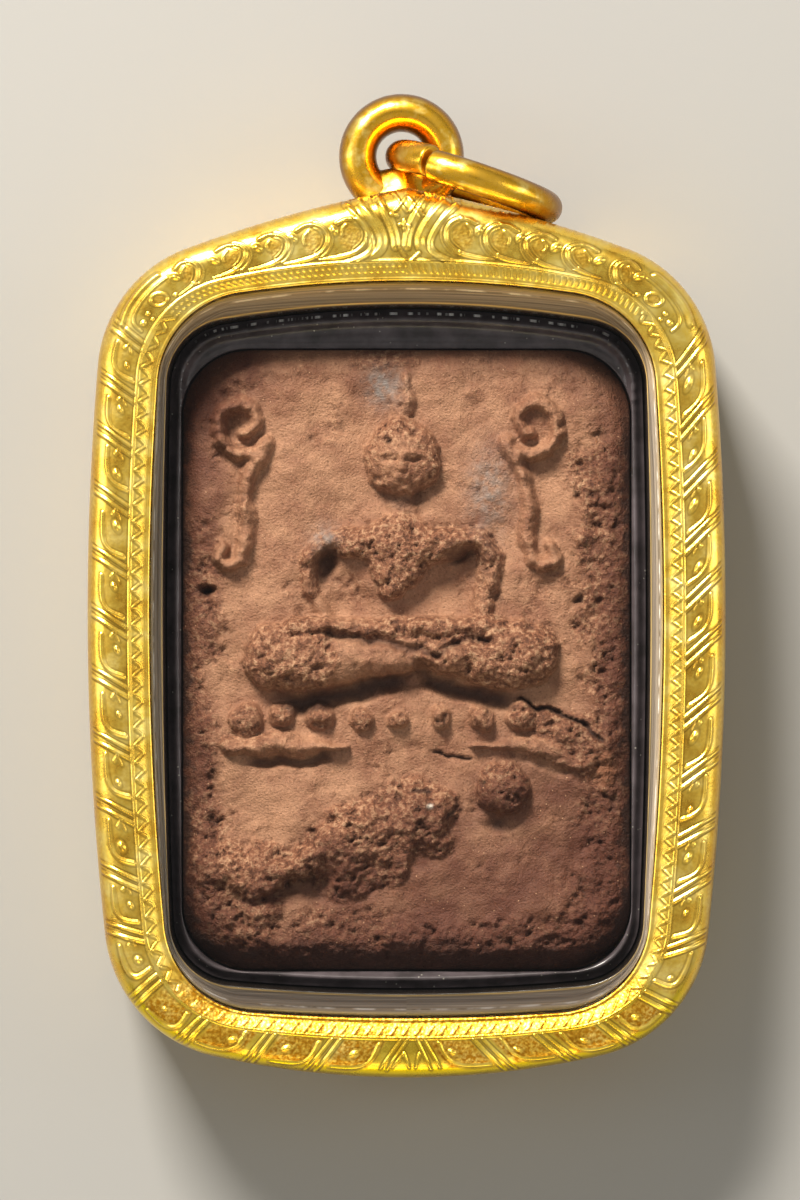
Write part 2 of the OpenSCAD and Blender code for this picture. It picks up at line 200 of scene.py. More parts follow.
def edgeMaterial():
    finish = edgeFinish
    material, tree = newMaterial("paintedAcrylicEdge")
    uv = addNode(tree, "UVMap", {"uv_map": "along"}).outputs["UV"]
    inward = addNode(tree, "Attribute", {"attribute_name": "inward"}).outputs["Fac"]
    stretch = addNode(tree, "Mapping", None, {"Vector": uv, "Scale": finish["streaks"]})
    streak = addNode(tree, "TexNoise", None, {
        "Vector": stretch.outputs["Vector"], "Scale": 1.0, "Detail": 5.0, "Roughness": 0.65})
    across = addNode(tree, "ValToRGB", None, {"Fac": inward}, [
        (at, linear(color)) for at, color in finish["across"]])
    lines = addNode(tree, "ValToRGB", None, {"Fac": streak.outputs["Fac"]}, finish["streakTones"])
    lined = addNode(tree, "Mix", {"data_type": "RGBA", "blend_type": "MULTIPLY"}, {
        0: 1.0, 6: across.outputs["Color"], 7: lines.outputs["Color"]})
    # a broken white line along the edge: a painted highlight
    broken = addNode(tree, "TexNoise", None, {"Vector": uv, "Scale": 0.8, "Detail": 3.0})
    there = addNode(tree, "MapRange", None, {
        "Value": broken.outputs["Fac"], "From Min": 0.44, "From Max": 0.6})
    line = addNode(tree, "Math", {"operation": "COMPARE"}, {
        0: inward, 1: finish["lineAt"], 2: finish["lineWide"]})
    dashes = addNode(tree, "Math", {"operation": "MULTIPLY"}, {
        0: there.outputs["Result"], 1: line.outputs["Value"]})
    color = addNode(tree, "Mix", {"data_type": "RGBA"}, {
        0: dashes.outputs["Value"], 6: lined.outputs[2], 7: linear(finish["line"])})
    # painted reflection of the gold at the top and painted shade towards the foot
    place = addNode(tree, "TexCoord").outputs["Object"]
    height = addNode(tree, "SeparateXYZ", None, {"Vector": place})
    up = addNode(tree, "MapRange", None, {
        "Value": height.outputs["Y"], "From Min": finish["foot"] * mm, "From Max": finish["top"] * mm})
    paintedGlowAndShade = addNode(tree, "ValToRGB", None, {"Fac": up.outputs["Result"]}, finish["paintedGlowAndShade"])
    glowedAndShaded = addNode(tree, "Mix", {"data_type": "RGBA", "blend_type": "MULTIPLY"}, {
        0: 1.0, 6: color.outputs[2], 7: paintedGlowAndShade.outputs["Color"]})
    bump = addNode(tree, "Bump", None, {
        "Strength": 0.4, "Distance": finish["streakDeep"] * mm, "Height": streak.outputs["Fac"]})
    shader = addNode(tree, "BsdfPrincipled", None, {
        "Base Color": glowedAndShaded.outputs[2], "Roughness": finish["rough"], "IOR": finish["ior"],
        "Normal": bump.outputs["Normal"]})
    addNode(tree, "OutputMaterial", None, {"Surface": shader.outputs["BSDF"]})
    return material


# Near-black moulded polymer, its dark partly painted shade of the gap inside the case: smooth, with
# broad soft reflections and a little white dust, and a broken row of painted glints, pale dots, along its outer
# edge at the top
seatFinish = {
    "dark": "#352F30", "cloud": "#50474A", "cloudSize": 1.5,
    "dust": "#8C877F", "dustSize": 0.55, "dustWide": 0.085,
    "glintDots": "#F6F4F0", "rowAt": 0.25, "rowWide": 0.075, "rough": 0.24, "ior": 1.5,
}


def seatMaterial():
    finish = seatFinish
    material, tree = newMaterial("blackPolymerAndShade")
    place = addNode(tree, "TexCoord").outputs["Object"]
    cloud = addNode(tree, "TexNoise", None, {
        "Vector": place, "Scale": perMetre(finish["cloudSize"]), "Detail": 3.0})
    dust = addNode(tree, "TexVoronoi", None, {"Vector": place, "Scale": perMetre(finish["dustSize"])})
    speck = addNode(tree, "Math", {"operation": "LESS_THAN"}, {
        0: dust.outputs["Distance"], 1: finish["dustWide"]})
    # near-black, partly painted shade of the gap inside the case
    dark = addNode(tree, "ValToRGB", None, {"Fac": cloud.outputs["Fac"]}, [
        (0.35, linear(finish["dark"])), (0.65, linear(finish["cloud"]))])
    color = addNode(tree, "Mix", {"data_type": "RGBA"}, {
        0: speck.outputs["Value"], 6: dark.outputs["Color"], 7: linear(finish["dust"])})
    # the row of painted glints
    uv = addNode(tree, "UVMap", {"uv_map": "along"}).outputs["UV"]
    parts = addNode(tree, "SeparateXYZ", None, {"Vector": uv})
    spacing = addNode(tree, "Mapping", None, {"Vector": uv, "Scale": (1.0, 0.0, 0.0)})
    gaps = addNode(tree, "TexNoise", None, {
        "Vector": spacing.outputs["Vector"], "Scale": 1.9, "Detail": 2.0})
    dot = addNode(tree, "MapRange", None, {
        "Value": gaps.outputs["Fac"], "From Min": 0.5, "From Max": 0.58})
    row = addNode(tree, "Math", {"operation": "COMPARE"}, {
        0: parts.outputs["Y"], 1: finish["rowAt"], 2: finish["rowWide"]})
    glintRow = addNode(tree, "Attribute", {"attribute_name": "glintRow"}).outputs["Fac"]
    inRow = addNode(tree, "Math", {"operation": "MULTIPLY"}, {0: row.outputs["Value"], 1: glintRow})
    light = addNode(tree, "Math", {"operation": "MULTIPLY"}, {
        0: inRow.outputs["Value"], 1: dot.outputs["Result"]})
    glinted = addNode(tree, "Mix", {"data_type": "RGBA"}, {
        0: light.outputs["Value"], 6: color.outputs[2], 7: linear(finish["glintDots"])})
    shader = addNode(tree, "BsdfPrincipled", None, {
        "Base Color": glinted.outputs[2], "Roughness": finish["rough"], "IOR": finish["ior"]})
    addNode(tree, "OutputMaterial", None, {"Surface": shader.outputs["BSDF"]})
    return material


# Low-fired clay pressed in a mould: smooth warm tan where the mould's skin is left, redder and
# crumbly with pits and pale grains where that skin has worn off, greyer where dirt has settled. Painted
# shade darkens its pits, hollows, cuts and edges, and the darker, redder tone of its firing towards the
# foot, the right and the margins is partly painted shade
clayFinish = {
    "skin": "#9A7055", "skinDeep": "#764B36", "worn": "#80523A", "wornDeep": "#502E1C", "wornPale": "#B08768",
    "shadeBrown": "#341D13", "stain": "#7E7671", "fired": "#50281A", "spall": "#855539", "chip": "#D8CCBE",
    "cloudSize": 2.4, "gritSize": 0.34, "gritDeep": 0.27, "grainSize": 0.12, "grainDeep": 0.12,
    "fleckSize": 0.5, "fleckWide": 0.07, "rough": 0.62, "specular": 0.3,
}


def clayMaterial():
    finish = clayFinish
    material, tree = newMaterial("firedClay")
    place = addNode(tree, "TexCoord").outputs["Object"]
    worn, stain, shade, fired, spall, chip = (
        addNode(tree, "Attribute", {"attribute_name": mark}).outputs["Fac"]
        for mark in ("worn", "stain", "hollow", "fired", "spall", "chip"))
    cloud = addNode(tree, "TexNoise", None, {
        "Vector": place, "Scale": perMetre(finish["cloudSize"]), "Detail": 6.0, "Roughness": 0.65})
    grit = addNode(tree, "TexNoise", None, {
        "Vector": place, "Scale": perMetre(finish["gritSize"]), "Detail": 4.0, "Roughness": 0.7})
    grain = addNode(tree, "TexNoise", None, {
        "Vector": place, "Scale": perMetre(finish["grainSize"]), "Detail": 3.0, "Roughness": 0.6})
    fleck = addNode(tree, "TexVoronoi", None, {"Vector": place, "Scale": perMetre(finish["fleckSize"])})
    skin = addNode(tree, "ValToRGB", None, {"Fac": cloud.outputs["Fac"]}, [
        (0.33, linear(finish["skinDeep"])), (0.6, linear(finish["skin"]))])
    rub = addNode(tree, "ValToRGB", None, {"Fac": grit.outputs["Fac"]}, [
        (0.36, linear(finish["wornDeep"])), (0.5, linear(finish["worn"])), (0.64, linear(finish["wornPale"]))])
    body = addNode(tree, "Mix", {"data_type": "RGBA"}, {
        0: worn, 6: skin.outputs["Color"], 7: rub.outputs["Color"]})
    # the firing's darker, redder tone, partly painted shade
    firedAndShaded = addNode(tree, "Mix", {"data_type": "RGBA"}, {
        0: fired, 6: body.outputs[2], 7: linear(finish["fired"])})
    flaked = addNode(tree, "Mix", {"data_type": "RGBA"}, {
        0: spall, 6: firedAndShaded.outputs[2], 7: linear(finish["spall"])})
    chipped = addNode(tree, "Mix", {"data_type": "RGBA"}, {
        0: chip, 6: flaked.outputs[2], 7: linear(finish["chip"])})
    speckle = addNode(tree, "ValToRGB", None, {"Fac": grain.outputs["Fac"]}, [
        (0.3, (0.5, 0.44, 0.4, 1)), (0.4, (0.94, 0.93, 0.92, 1)), (0.6, (1.05, 1.05, 1.04, 1)),
        (0.7, (1.35, 1.33, 1.32, 1))])
    grained = addNode(tree, "Mix", {"data_type": "RGBA", "blend_type": "MULTIPLY"}, {
        0: 1.0, 6: chipped.outputs[2], 7: speckle.outputs["Color"]})
    dirty = addNode(tree, "Mix", {"data_type": "RGBA"}, {
        0: stain, 6: grained.outputs[2], 7: linear(finish["stain"])})
    pale = addNode(tree, "Math", {"operation": "LESS_THAN"}, {
        0: fleck.outputs["Distance"], 1: finish["fleckWide"]})
    flecked = addNode(tree, "Mix", {"data_type": "RGBA"}, {
        0: pale.outputs["Value"], 6: dirty.outputs[2], 7: linear(finish["wornPale"])})
    # painted shade in the hollows, pits, cuts and edges
    deep = addNode(tree, "Mix", {"data_type": "RGBA"}, {
        0: shade, 6: flecked.outputs[2], 7: linear(finish["shadeBrown"])})
    depth = addNode(tree, "MapRange", None, {"Value": worn, "To Min": 0.25, "To Max": 1.0})
    coarse = addNode(tree, "Bump", None, {
        "Strength": depth.outputs["Result"], "Distance": finish["gritDeep"] * mm,
        "Height": grit.outputs["Fac"]})
    fine = addNode(tree, "Bump", None, {
        "Strength": 0.8, "Distance": finish["grainDeep"] * mm, "Height": grain.outputs["Fac"],
        "Normal": coarse.outputs["Normal"]})
    shader = addNode(tree, "BsdfPrincipled", None, {
        "Base Color": deep.outputs[2], "Roughness": finish["rough"], "Specular IOR Level": finish["specular"],
        "Normal": fine.outputs["Normal"]})
    addNode(tree, "OutputMaterial", None, {"Surface": shader.outputs["BSDF"]})
    return material


chasedGold = goldMaterial("chasedGold", goldFinish)
# a darker copy for the bail, neck and ring, partly wear and partly painted shade, and much browner where they
# turn from the eye, painted shade
wornShadedGold = goldMaterial("wornShadedGold", dict(
    goldFinish, color="#E5AD2C", edge=0.92, rough=0.28, toolSize=0.4, patchSize=1.2))
castAcrylic = acrylicMaterial()
paintedAcrylicEdge = edgeMaterial()
blackPolymerAndShade = seatMaterial()
firedClay = clayMaterial()
print("materials made")


# Meshes

def openMesh(mesh):
    bm = bmesh.new()
    bm.from_mesh(mesh)
    return bm


# Turn the faces outwards and put what the bmesh holds into the mesh
def keepMesh(bm, mesh):
    bmesh.ops.recalc_face_normals(bm, faces=bm.faces)
    bm.to_mesh(mesh)
    bm.free()
    return mesh


# Merge the seams of a mesh and turn its faces outwards
def closeMesh(mesh):
    bm = openMesh(mesh)
    bmesh.ops.remove_doubles(bm, verts=bm.verts, dist=0.0005 * mm)
    return keepMesh(bm, mesh)


def finishPiece(mesh, material, body, node):
    piece = bpy.data.objects.new(mesh.name, mesh)
    bpy.context.scene.collection.objects.link(piece)
    mesh.materials.append(material)
    mesh.shade_smooth()
    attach(piece, body)
    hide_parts(node)
    print("made", mesh.name, len(mesh.polygons))


# A grid whose vertices are moved by shape(column, row), which gives places in millimetres, the
# place along and across each vertex for the UV map, and a dictionary of values to store on it
def gridMesh(name, columns, rows, shape):
    bm = bmesh.new()
    bmesh.ops.create_grid(bm, x_segments=columns, y_segments=rows, size=1)
    mesh = bpy.data.meshes.new(name)
    bm.to_mesh(mesh)
    bm.free()
    flat = np.empty(len(mesh.vertices) * 3)
    mesh.vertices.foreach_get("co", flat)
    flat = flat.reshape(-1, 3)
    column = np.rint((flat[:, 0] + 1) / 2 * columns).astype(int)
    row = np.rint((flat[:, 1] + 1) / 2 * rows).astype(int)
    places, along, across, marks = shape(column, row)
    mesh.vertices.foreach_set("co", (places * mm).ravel())
    corner = np.empty(len(mesh.loops), int)
    mesh.loops.foreach_get("vertex_index", corner)
    uv = mesh.uv_layers.new(name="along")
    uv.data.foreach_set("uv", np.stack([along[corner], across[corner]], 1).ravel())
    for mark, values in marks.items():
        layer = mesh.attributes.new(mark, "FLOAT", "POINT")
        layer.data.foreach_set("value", values.astype(np.float32))
    return mesh


# Outlines, each a list of arcs up its right half: centre, radius, start and end angle

rim = {
    "belly": goldLow[1] + 25.8, "peak": goldHigh[1] - 5.45,
    "sideBorder": 3.35, "lowBorder": 3.25, "topBorder": 5.1,
    "sheet": 0.75, "lip": 1.0, "band": 0.95, "bandDrop": 0.35, "bandRows": 26, "lap": 0.14, "fit": 0.1,
    "roundWide": 1.6, "roundDeep": 2.2, "fullness": 2.5, "flatRows": 34, "edgeRows": 34, "edgePower": 1.15,
    # the wall's outside is bent at these heights, and its two halves end this far from the middle
    "wall": 1.7, "gap": 0.02, "overCase": 0.04, "backLip": 0.06, "backRows": 9,
    "step": 0.058, "backStep": 0.35,
}
# radii of the side, the foot and the crown, how far the crown's middle lies off the axis, and the
# radii of the low and top corners
outlines = {
    "frame": (165, 48.5, 75.7, 14, 7.75, 7.55),
    "opening": (181, 107, 62, 0, 5.4, 5.4),
    "pocket": (400, 107, 62, 0, 3.6, 3.6),
}


def polar(radius, angle):
    return np.array([radius * math.cos(angle), radius * math.sin(angle)])


def turnTo(p, q):
    return math.atan2(q[1] - p[1], q[0] - p[0])


# Centre of a corner of radius r that lies inside two larger circles
def cornerCentre(c1, r1, c2, r2, r):
    apart = math.dist(c1, c2)
    u = (c2 - c1) / apart
    along = ((r1 - r) ** 2 - (r2 - r) ** 2 + apart ** 2) / (2 * apart)
    out = math.sqrt(max(0.0, (r1 - r) ** 2 - along ** 2))
    n = np.array([-u[1], u[0]])
    return max(c1 + u * along + n * out, c1 + u * along - n * out, key=lambda p: p[0])


def outlineArcs(halfWidth, low, top, side, bottom, crown, lean, lowCorner, topCorner):
    cs = np.array([halfWidth - side, rim["belly"]])
    cb = np.array([0.0, low + bottom])
    ct = np.array([-lean, top - math.sqrt(crown ** 2 - lean ** 2)])
    lo = cornerCentre(cs, side, cb, bottom, lowCorner)
    hi = cornerCentre(cs, side, ct, crown, topCorner)
    return [(cb, bottom, -math.pi / 2, turnTo(cb, lo)),
            (lo, lowCorner, turnTo(cb, lo), turnTo(cs, lo)),
            (cs, side, turnTo(cs, lo), turnTo(cs, hi)),
            (hi, topCorner, turnTo(cs, hi), turnTo(ct, hi)),
            (ct, crown, turnTo(ct, hi), math.acos(lean / crown))]


def halfStations(arcs, step):
    stations = []
    for i, (centre, radius, start, end) in enumerate(arcs):
        count = max(3, round(radius * abs(end - start) / step))
        stations += [(i, k / count) for k in range(count)]
    return stations + [(len(arcs) - 1, 1.0)]


def halfPoints(arcs, stations, inset=0.0):
    points = []
    for i, share in stations:
        centre, radius, start, end = arcs[i]
        radius -= inset
        if i == len(arcs) - 1:
            end = math.acos(-centre[0] / radius)
        points.append(centre + polar(radius, start + (end - start) * share))
    return np.array(points)


# The whole loop, from the bottom middle up the right and down the left, closed on itself
def wholeLoop(half):
    return np.concatenate([half, half[-2:0:-1] * [-1, 1], half[:1]])


def pathLength(points):
    return np.concatenate([[0], np.cumsum(np.hypot(*np.diff(points, axis=0).T))])


frameArcs = outlineArcs(goldHigh[0], goldLow[1], rim["peak"], *outlines["frame"])
openingArcs = outlineArcs(goldHigh[0] - rim["sideBorder"], goldLow[1] + rim["lowBorder"],
                          rim["peak"] - rim["topBorder"], *outlines["opening"])
pocketArcs = outlineArcs(seatHigh[0] + rim["fit"], seatLow[1] - rim["fit"], seatHigh[1] + rim["fit"],
                         *outlines["pocket"])


# A closed ring of gold or plastic between two outlines, or only its right (1) or left (-1) half.
# Each row of section is the share of the way from the outer to the inner outline, a distance
# added to it, and a height above the middle.
def ringMesh(name, outerArcs, innerArcs, step, section, relief=None, only=0):
    stations = halfStations(outerArcs, step)
    outer, inner = (halfPoints(arcs, stations) for arcs in (outerArcs, innerArcs))
    half = len(stations)
    if only:
        outer, inner = outer * [only, 1], inner * [only, 1]
        fold, side = np.arange(half), np.full(half, only)
    else:
        outer, inner = wholeLoop(outer), wholeLoop(inner)
        fold = np.concatenate([np.arange(half), np.arange(half - 2, 0, -1), [0]])
        side = np.concatenate([np.ones(half), -np.ones(half - 1)])
    width = np.hypot(*(inner - outer).T)
    share, extra, height = (np.array(v) for v in zip(*section))

    def shape(column, row):
        across = share[row] * width[column] + extra[row]
        plan = outer[column] + (inner - outer)[column] * (across / width[column])[:, None]
        places = np.column_stack([plan, midZ + height[row]])
        along = pathLength(outer)[column]
        marks = {"inward": share[row]}
        if relief:
            ridge = outer + (inner - outer) * ((width - rim["band"]) / width)[:, None]
            run = pathLength(ridge[:half])[fold[column]]
            out = width[column] - rim["band"] - across
            lift, marks = relief(run, out, side[column], plan, across)
            places += lift[:, None] * sectionNormal(share, extra, height, width, outer, inner, column, row)
        return places, along, across, marks

    return closeMesh(gridMesh(name, len(outer) - 1, len(section) - 1, shape))


# Direction square to the section, pointing out of the metal
def sectionNormal(share, extra, height, width, outer, inner, column, row):
    nextRow = np.minimum(row + 1, len(share) - 1)
    lastRow = np.maximum(row - 1, 0)
    run = (share[nextRow] - share[lastRow]) * width[column] + extra[nextRow] - extra[lastRow]
    rise = height[nextRow] - height[lastRow]
    size = np.hypot(run, rise)
    inward = (inner - outer)[column] / width[column][:, None]
    return np.column_stack([inward * (rise / size)[:, None], -run / size])


# Chased ornament. Places on the border are its run from the bottom middle along the ridge line and
# how far out it lies from that line, both in millimetres.

def segmentDistance(x, y, a, b):
    dx, dy = b[0] - a[0], b[1] - a[1]
    t = np.clip(((x - a[0]) * dx + (y - a[1]) * dy) / (dx * dx + dy * dy), 0, 1)
    return np.hypot(x - a[0] - dx * t, y - a[1] - dy * t)


def pathDistance(x, y, points):
    return np.min([segmentDistance(x, y, a, b) for a, b in zip(points, points[1:])], axis=0)


# A raised round line through points
def raisedLine(x, y, points, radius, height):
    return height * np.clip(1 - (pathDistance(x, y, points) / radius) ** 2, 0, 1)


# The same points with their corners cut off twice, for a flowing curve
def flowing(points):
    for k in range(2):
        cut = [points[0]]
        for (ax, ay), (bx, by) in zip(points, points[1:]):
            cut.append((ax * 0.75 + bx * 0.25, ay * 0.75 + by * 0.25))
            cut.append((ax * 0.25 + bx * 0.75, ay * 0.25 + by * 0.75))
        points = cut + [points[-1]]
    return points


def smoothStep(value, low, high):
    t = np.clip((value - low) / (high - low), 0, 1)
    return t * t * (3 - 2 * t)


# 1 from the second value to the third, falling off softly to the first and to the fourth
def between(value, first, second, third, fourth):
    return smoothStep(value, first, second) * (1 - smoothStep(value, third, fourth))


# Half a round bar lying along a line of the surface
def raisedBar(value, wide):
    return np.clip(1 - (value / wide) ** 2, 0, 1)


graver = {"away": 0.02, "wide": 0.045, "deep": 0.035}


# Raise a rounded line or bud out of the surface, with the graver's fine cut round it, browned with dirt and
# painted shade
def chase(lift, marks, reach, radius, height, cut=0.6, where=1.0):
    body = (0.5 + 0.5 * np.cos(np.pi * np.clip(reach / radius, 0, 1))) * where
    cutAway = np.exp(-((reach - radius - graver["away"]) / graver["wide"]) ** 2) * where
    lift += (height - lift) * body - graver["deep"] * cutAway
    marks["mattedGroundAndShade"] *= 1 - body
    marks["cutDirtAndShade"] = np.maximum(marks["cutDirtAndShade"] * (1 - body), cut * cutAway)


bars = {
    # where each bar crosses the ridge line on the left and on the right, and how far it leans
    -1: [(3.8, 0.4), (7.4, 0.1), (11.2, -0.1), (14.6, -0.3), (16.9, 0.45), (19.8, 0.6), (23.4, 0.6),
         (27.0, 0.55), (30.4, 0.55), (33.7, 0.55), (37.0, 0.5), (40.4, 0.5), (43.7, 0.45), (46.6, 0.4),
         (49.5, 0.3)],
    1: [(3.85, 0.55), (7.2, 0.4), (10.8, 0.05), (13.5, 0.0), (16.1, 0.6), (19.1, 0.75), (22.2, 0.65),
        (25.4, 0.8), (28.7, 0.85), (32.1, 0.85), (35.2, 0.85), (38.3, 0.8), (41.4, 0.8), (44.6, 0.85),
        (48.1, 0.7)],
    # two strips to a bar: how far to its side, half width and height
    "first": (0.45, 0.55), "strips": [(-0.22, 0.14, 0.09), (0.22, 0.12, 0.08)], "reach": 2.2, "taper": 0.12,
}
cells = {
    # hook, bud and leaf, on a cell 3.35 long from the bar below it, and stretched at the foot
    "long": 3.35, "hook": [(0.95, 0.28), (0.82, 0.75), (0.8, 1.15), (1.05, 1.42), (1.6, 1.5), (2.55, 1.5)],
    "hookWide": 0.17, "hookHeight": 0.1, "lowStretch": 1.12, "turn": 0.24,
    "bud": (1.78, 0.72), "budWide": 0.27, "budHeight": 0.13, "budShift": (-0.1, 0.15), "budSizes": (0.65, 1.3),
    "leaf": [[(2.55, 1.0), (2.95, 0.82)], [(2.6, 0.6), (2.95, 0.8)]], "leafWide": 0.12, "leafHeight": 0.08,
    # the sunk bed: where it begins and ends along the cell and out from the ridge line
    "bedLong": (0.5, 0.8, 2.7, 3.0), "bedOut": (0.08, 0.2, 1.42, 1.55),
    "sunk": 0.06, "tone": 0.22, "footTone": 0.7,
}
corner = {
    "blade": [(50.25, 1.62), (50.9, 1.8), (52.0, 1.9), (53.4, 1.95)], "bladeWide": 0.24, "bladeHeight": 0.13,
    "arc": [(50.3, 0.5), (50.45, 1.0), (50.85, 1.3), (51.8, 1.42), (53.5, 1.5)], "ring": (52.3, 0.78, 0.4),
    "buds": [(50.75, 0.62, 0.16), (51.3, 0.7, 0.12), (51.15, 0.3, 0.1), (53.0, 0.35, 0.13)],
}
scrolls = {
    # each is a comma: round its top, down its inner side and away along the ridge line
    "paths": [[(62.4, 2.2), (62.9, 2.45), (63.5, 2.3), (63.8, 1.7), (63.65, 1.0), (63.0, 0.5), (62.2, 0.3),
               (61.0, 0.25)],
              [(60.4, 2.05), (61.0, 2.35), (61.6, 2.15), (61.85, 1.6), (61.6, 0.95), (61.0, 0.5), (60.2, 0.3),
               (59.1, 0.25)],
              [(58.6, 1.95), (59.1, 2.15), (59.65, 1.95), (59.85, 1.5), (59.5, 0.9), (58.9, 0.5), (58.2, 0.3),
               (57.2, 0.25)],
              [(56.5, 1.9), (57.1, 2.1), (57.65, 1.9), (57.75, 1.45), (57.35, 0.9), (56.7, 0.5), (56.0, 0.3),
               (55.2, 0.25)],
              [(54.2, 1.7), (54.75, 1.95), (55.15, 1.75), (55.15, 1.3), (54.75, 0.75), (54.3, 0.4),
               (53.7, 0.22), (53.1, 0.2)]],
    "wide": 0.15, "height": 0.1, "taper": 0.5, "taperLong": 1.2,
    # a second line inside the first: how far in, half width and height
    "second": (0.2, 0.09, 0.06),
    "buds": [(62.15, 1.8), (60.1, 1.68), (58.3, 1.5), (56.05, 1.38), (53.85, 1.3)],
    "budWide": 0.28, "budHeight": 0.15,
    "hooks": [[(62.5, 1.5), (62.55, 1.85), (62.8, 2.1)], [(60.55, 1.2), (60.6, 1.6), (61.0, 1.95)],
              [(58.75, 1.1), (58.7, 1.45), (59.05, 1.75)], [(56.4, 1.15), (56.5, 1.4), (57.0, 1.75)],
              [(54.1, 1.05), (54.2, 1.3), (54.65, 1.6)]],
    # pool inside each: centre, half length, half width and lean
    "pools": [(62.9, 1.3, 1.0, 0.75, 1.45), (61.0, 1.2, 0.9, 0.66, 1.35), (59.1, 1.15, 0.8, 0.56, 1.1),
              (56.85, 1.15, 0.95, 0.48, 0.8), (54.4, 1.0, 0.9, 0.45, 0.85), (52.3, 0.78, 0.34, 0.34, 0.0)],
    "sunk": 0.14, "tone": 0.5,
}
crown = {
    # bands of the hourglass under the bail, both sides of its axis: path, half width and height
    "axis": -0.3,
    "bands": [([(1.3, 21.2), (0.9, 20.5), (0.55, 19.8), (0.33, 19.1), (0.28, 18.6)], 0.3, 0.13),
              ([(2.45, 21.1), (1.8, 20.4), (1.2, 19.5), (0.95, 18.8), (1.3, 18.2), (2.4, 17.7)], 0.33, 0.12),
              ([(3.1, 20.9), (2.2, 20.0), (1.65, 19.1), (1.55, 18.5), (2.1, 17.95), (3.3, 17.55)], 0.2, 0.09)],
    "strokes": [[(-0.75, 21.6), (0.0, 20.5)], [(0.0, 21.3), (-0.65, 20.5)], [(0.1, 21.3), (0.9, 20.3)],
                [(0.85, 21.4), (0.2, 20.5)], [(-0.4, 19.75), (0.15, 19.7)], [(-0.15, 20.0), (-0.12, 19.5)],
                [(-0.4, 18.5), (0.1, 17.7)], [(0.7, 18.2), (0.18, 17.7)], [(-0.85, 20.35), (-0.5, 20.25)],
                # three-pointed mark at the bottom middle
                [(0.1, -24.6), (-1.45, -26.75)], [(0.45, -24.6), (-1.1, -26.85)],
                [(0.35, -24.7), (1.35, -26.8)], [(0.65, -24.6), (1.85, -26.7)],
                [(-0.15, -25.9), (-0.8, -26.7)], [(-0.15, -25.9), (0.15, -26.7)],
                [(0.72, -25.9), (0.5, -26.7)]],
    "strokeWide": 0.11, "strokeHeight": 0.09,
}
edging = {
    # zigzag down the sides, its pitch on the left and on the right, dots and ticks round the rest
    "pitch": {-1: 0.95, 1: 0.81}, "zig": [(0.0, 0.14), (0.5, 0.62), (0.68, 0.55), (1.0, 0.14)], "zigWide": 0.11,
    "height": 0.055, "dotPitch": 0.36, "dotWide": 0.13, "dotRows": ((0.26, 0.0), (0.56, 0.5)),
    "strokeWide": 0.1, "tickPitch": 0.68, "tickWide": 0.12, "foot": -22.5, "shoulder": 14.8,
    "lip": 0.05, "lipAt": 0.98, "lipWide": 0.11, "ridge": 0.1, "ridgeHeight": 0.05,
    "notch": 0.43, "notchDeep": 0.04,
}


# Cells with a hook, a bud and a leaf, and the double bars between them, down the sides and round
# the foot
def chaseSides(lift, marks, run, out, side, y, atFoot):
    level = out / (1 + (cells["lowStretch"] - 1) * atFoot)
    dice = random.Random(5)
    for half in (-1, 1):
        for (low, lean), (high, nextLean) in zip([bars["first"]] + bars[half], bars[half]):
            start, end = low + lean * out, high + nextLean * out
            inCell = (side == half) & (run >= start) & (run < end)
            place = (run - start) / np.maximum(end - start, 0.1) * cells["long"]
            # a ground sunk a little and matted, deepest at the foot, with a smooth margin outside it
            bed = between(place, *cells["bedLong"]) * between(level, *cells["bedOut"]) * inCell
            lift -= cells["sunk"] * bed * (0.5 + atFoot)
            marks["mattedGroundAndShade"] = np.maximum(marks["mattedGroundAndShade"], bed * (cells["tone"] + cells["footTone"] * atFoot))
            turn = dice.uniform(-cells["turn"], cells["turn"])
            hook = pathDistance(place + turn, level - turn * 0.3, flowing(cells["hook"]))
            wide = cells["hookWide"] * (1.1 - 0.28 * smoothStep(place, 1.2, 2.6))
            chase(lift, marks, hook, wide, cells["hookHeight"], 0.5, inCell)
            bx, by = cells["bud"]
            bud = np.hypot((place - bx - turn * 1.5) * 0.8, level - by - dice.uniform(*cells["budShift"]))
            wide = cells["budWide"] * dice.uniform(*cells["budSizes"])
            chase(lift, marks, bud, wide, cells["budHeight"], 0.35, inCell)
            for leaf in cells["leaf"]:
                reach = pathDistance(place, level, leaf)
                chase(lift, marks, reach, cells["leafWide"], cells["leafHeight"], 0.3, inCell * (y > -20))
        for low, lean in bars[half]:
            away = (run - low - lean * out) / math.hypot(1, lean)
            length = between(out, 0.0, 0.12, bars["reach"] - 0.15, bars["reach"]) * (side == half)
            for at, wide, rise in bars["strips"]:
                chase(lift, marks, np.abs(away - at), wide * (1.15 - bars["taper"] * out), rise, 0.75, length)


# Leaf at each upper corner, with buds beside it
def chaseCorners(lift, marks, run, out):
    chase(lift, marks, pathDistance(run, out, flowing(corner["blade"])), corner["bladeWide"],
          corner["bladeHeight"], 0.5)
    chase(lift, marks, pathDistance(run, out, flowing(corner["arc"])), 0.09, 0.06, 0.5)
    for bx, by, wide in corner["buds"]:
        chase(lift, marks, np.hypot(run - bx, out - by), wide * 1.3, 0.09, 0.4)


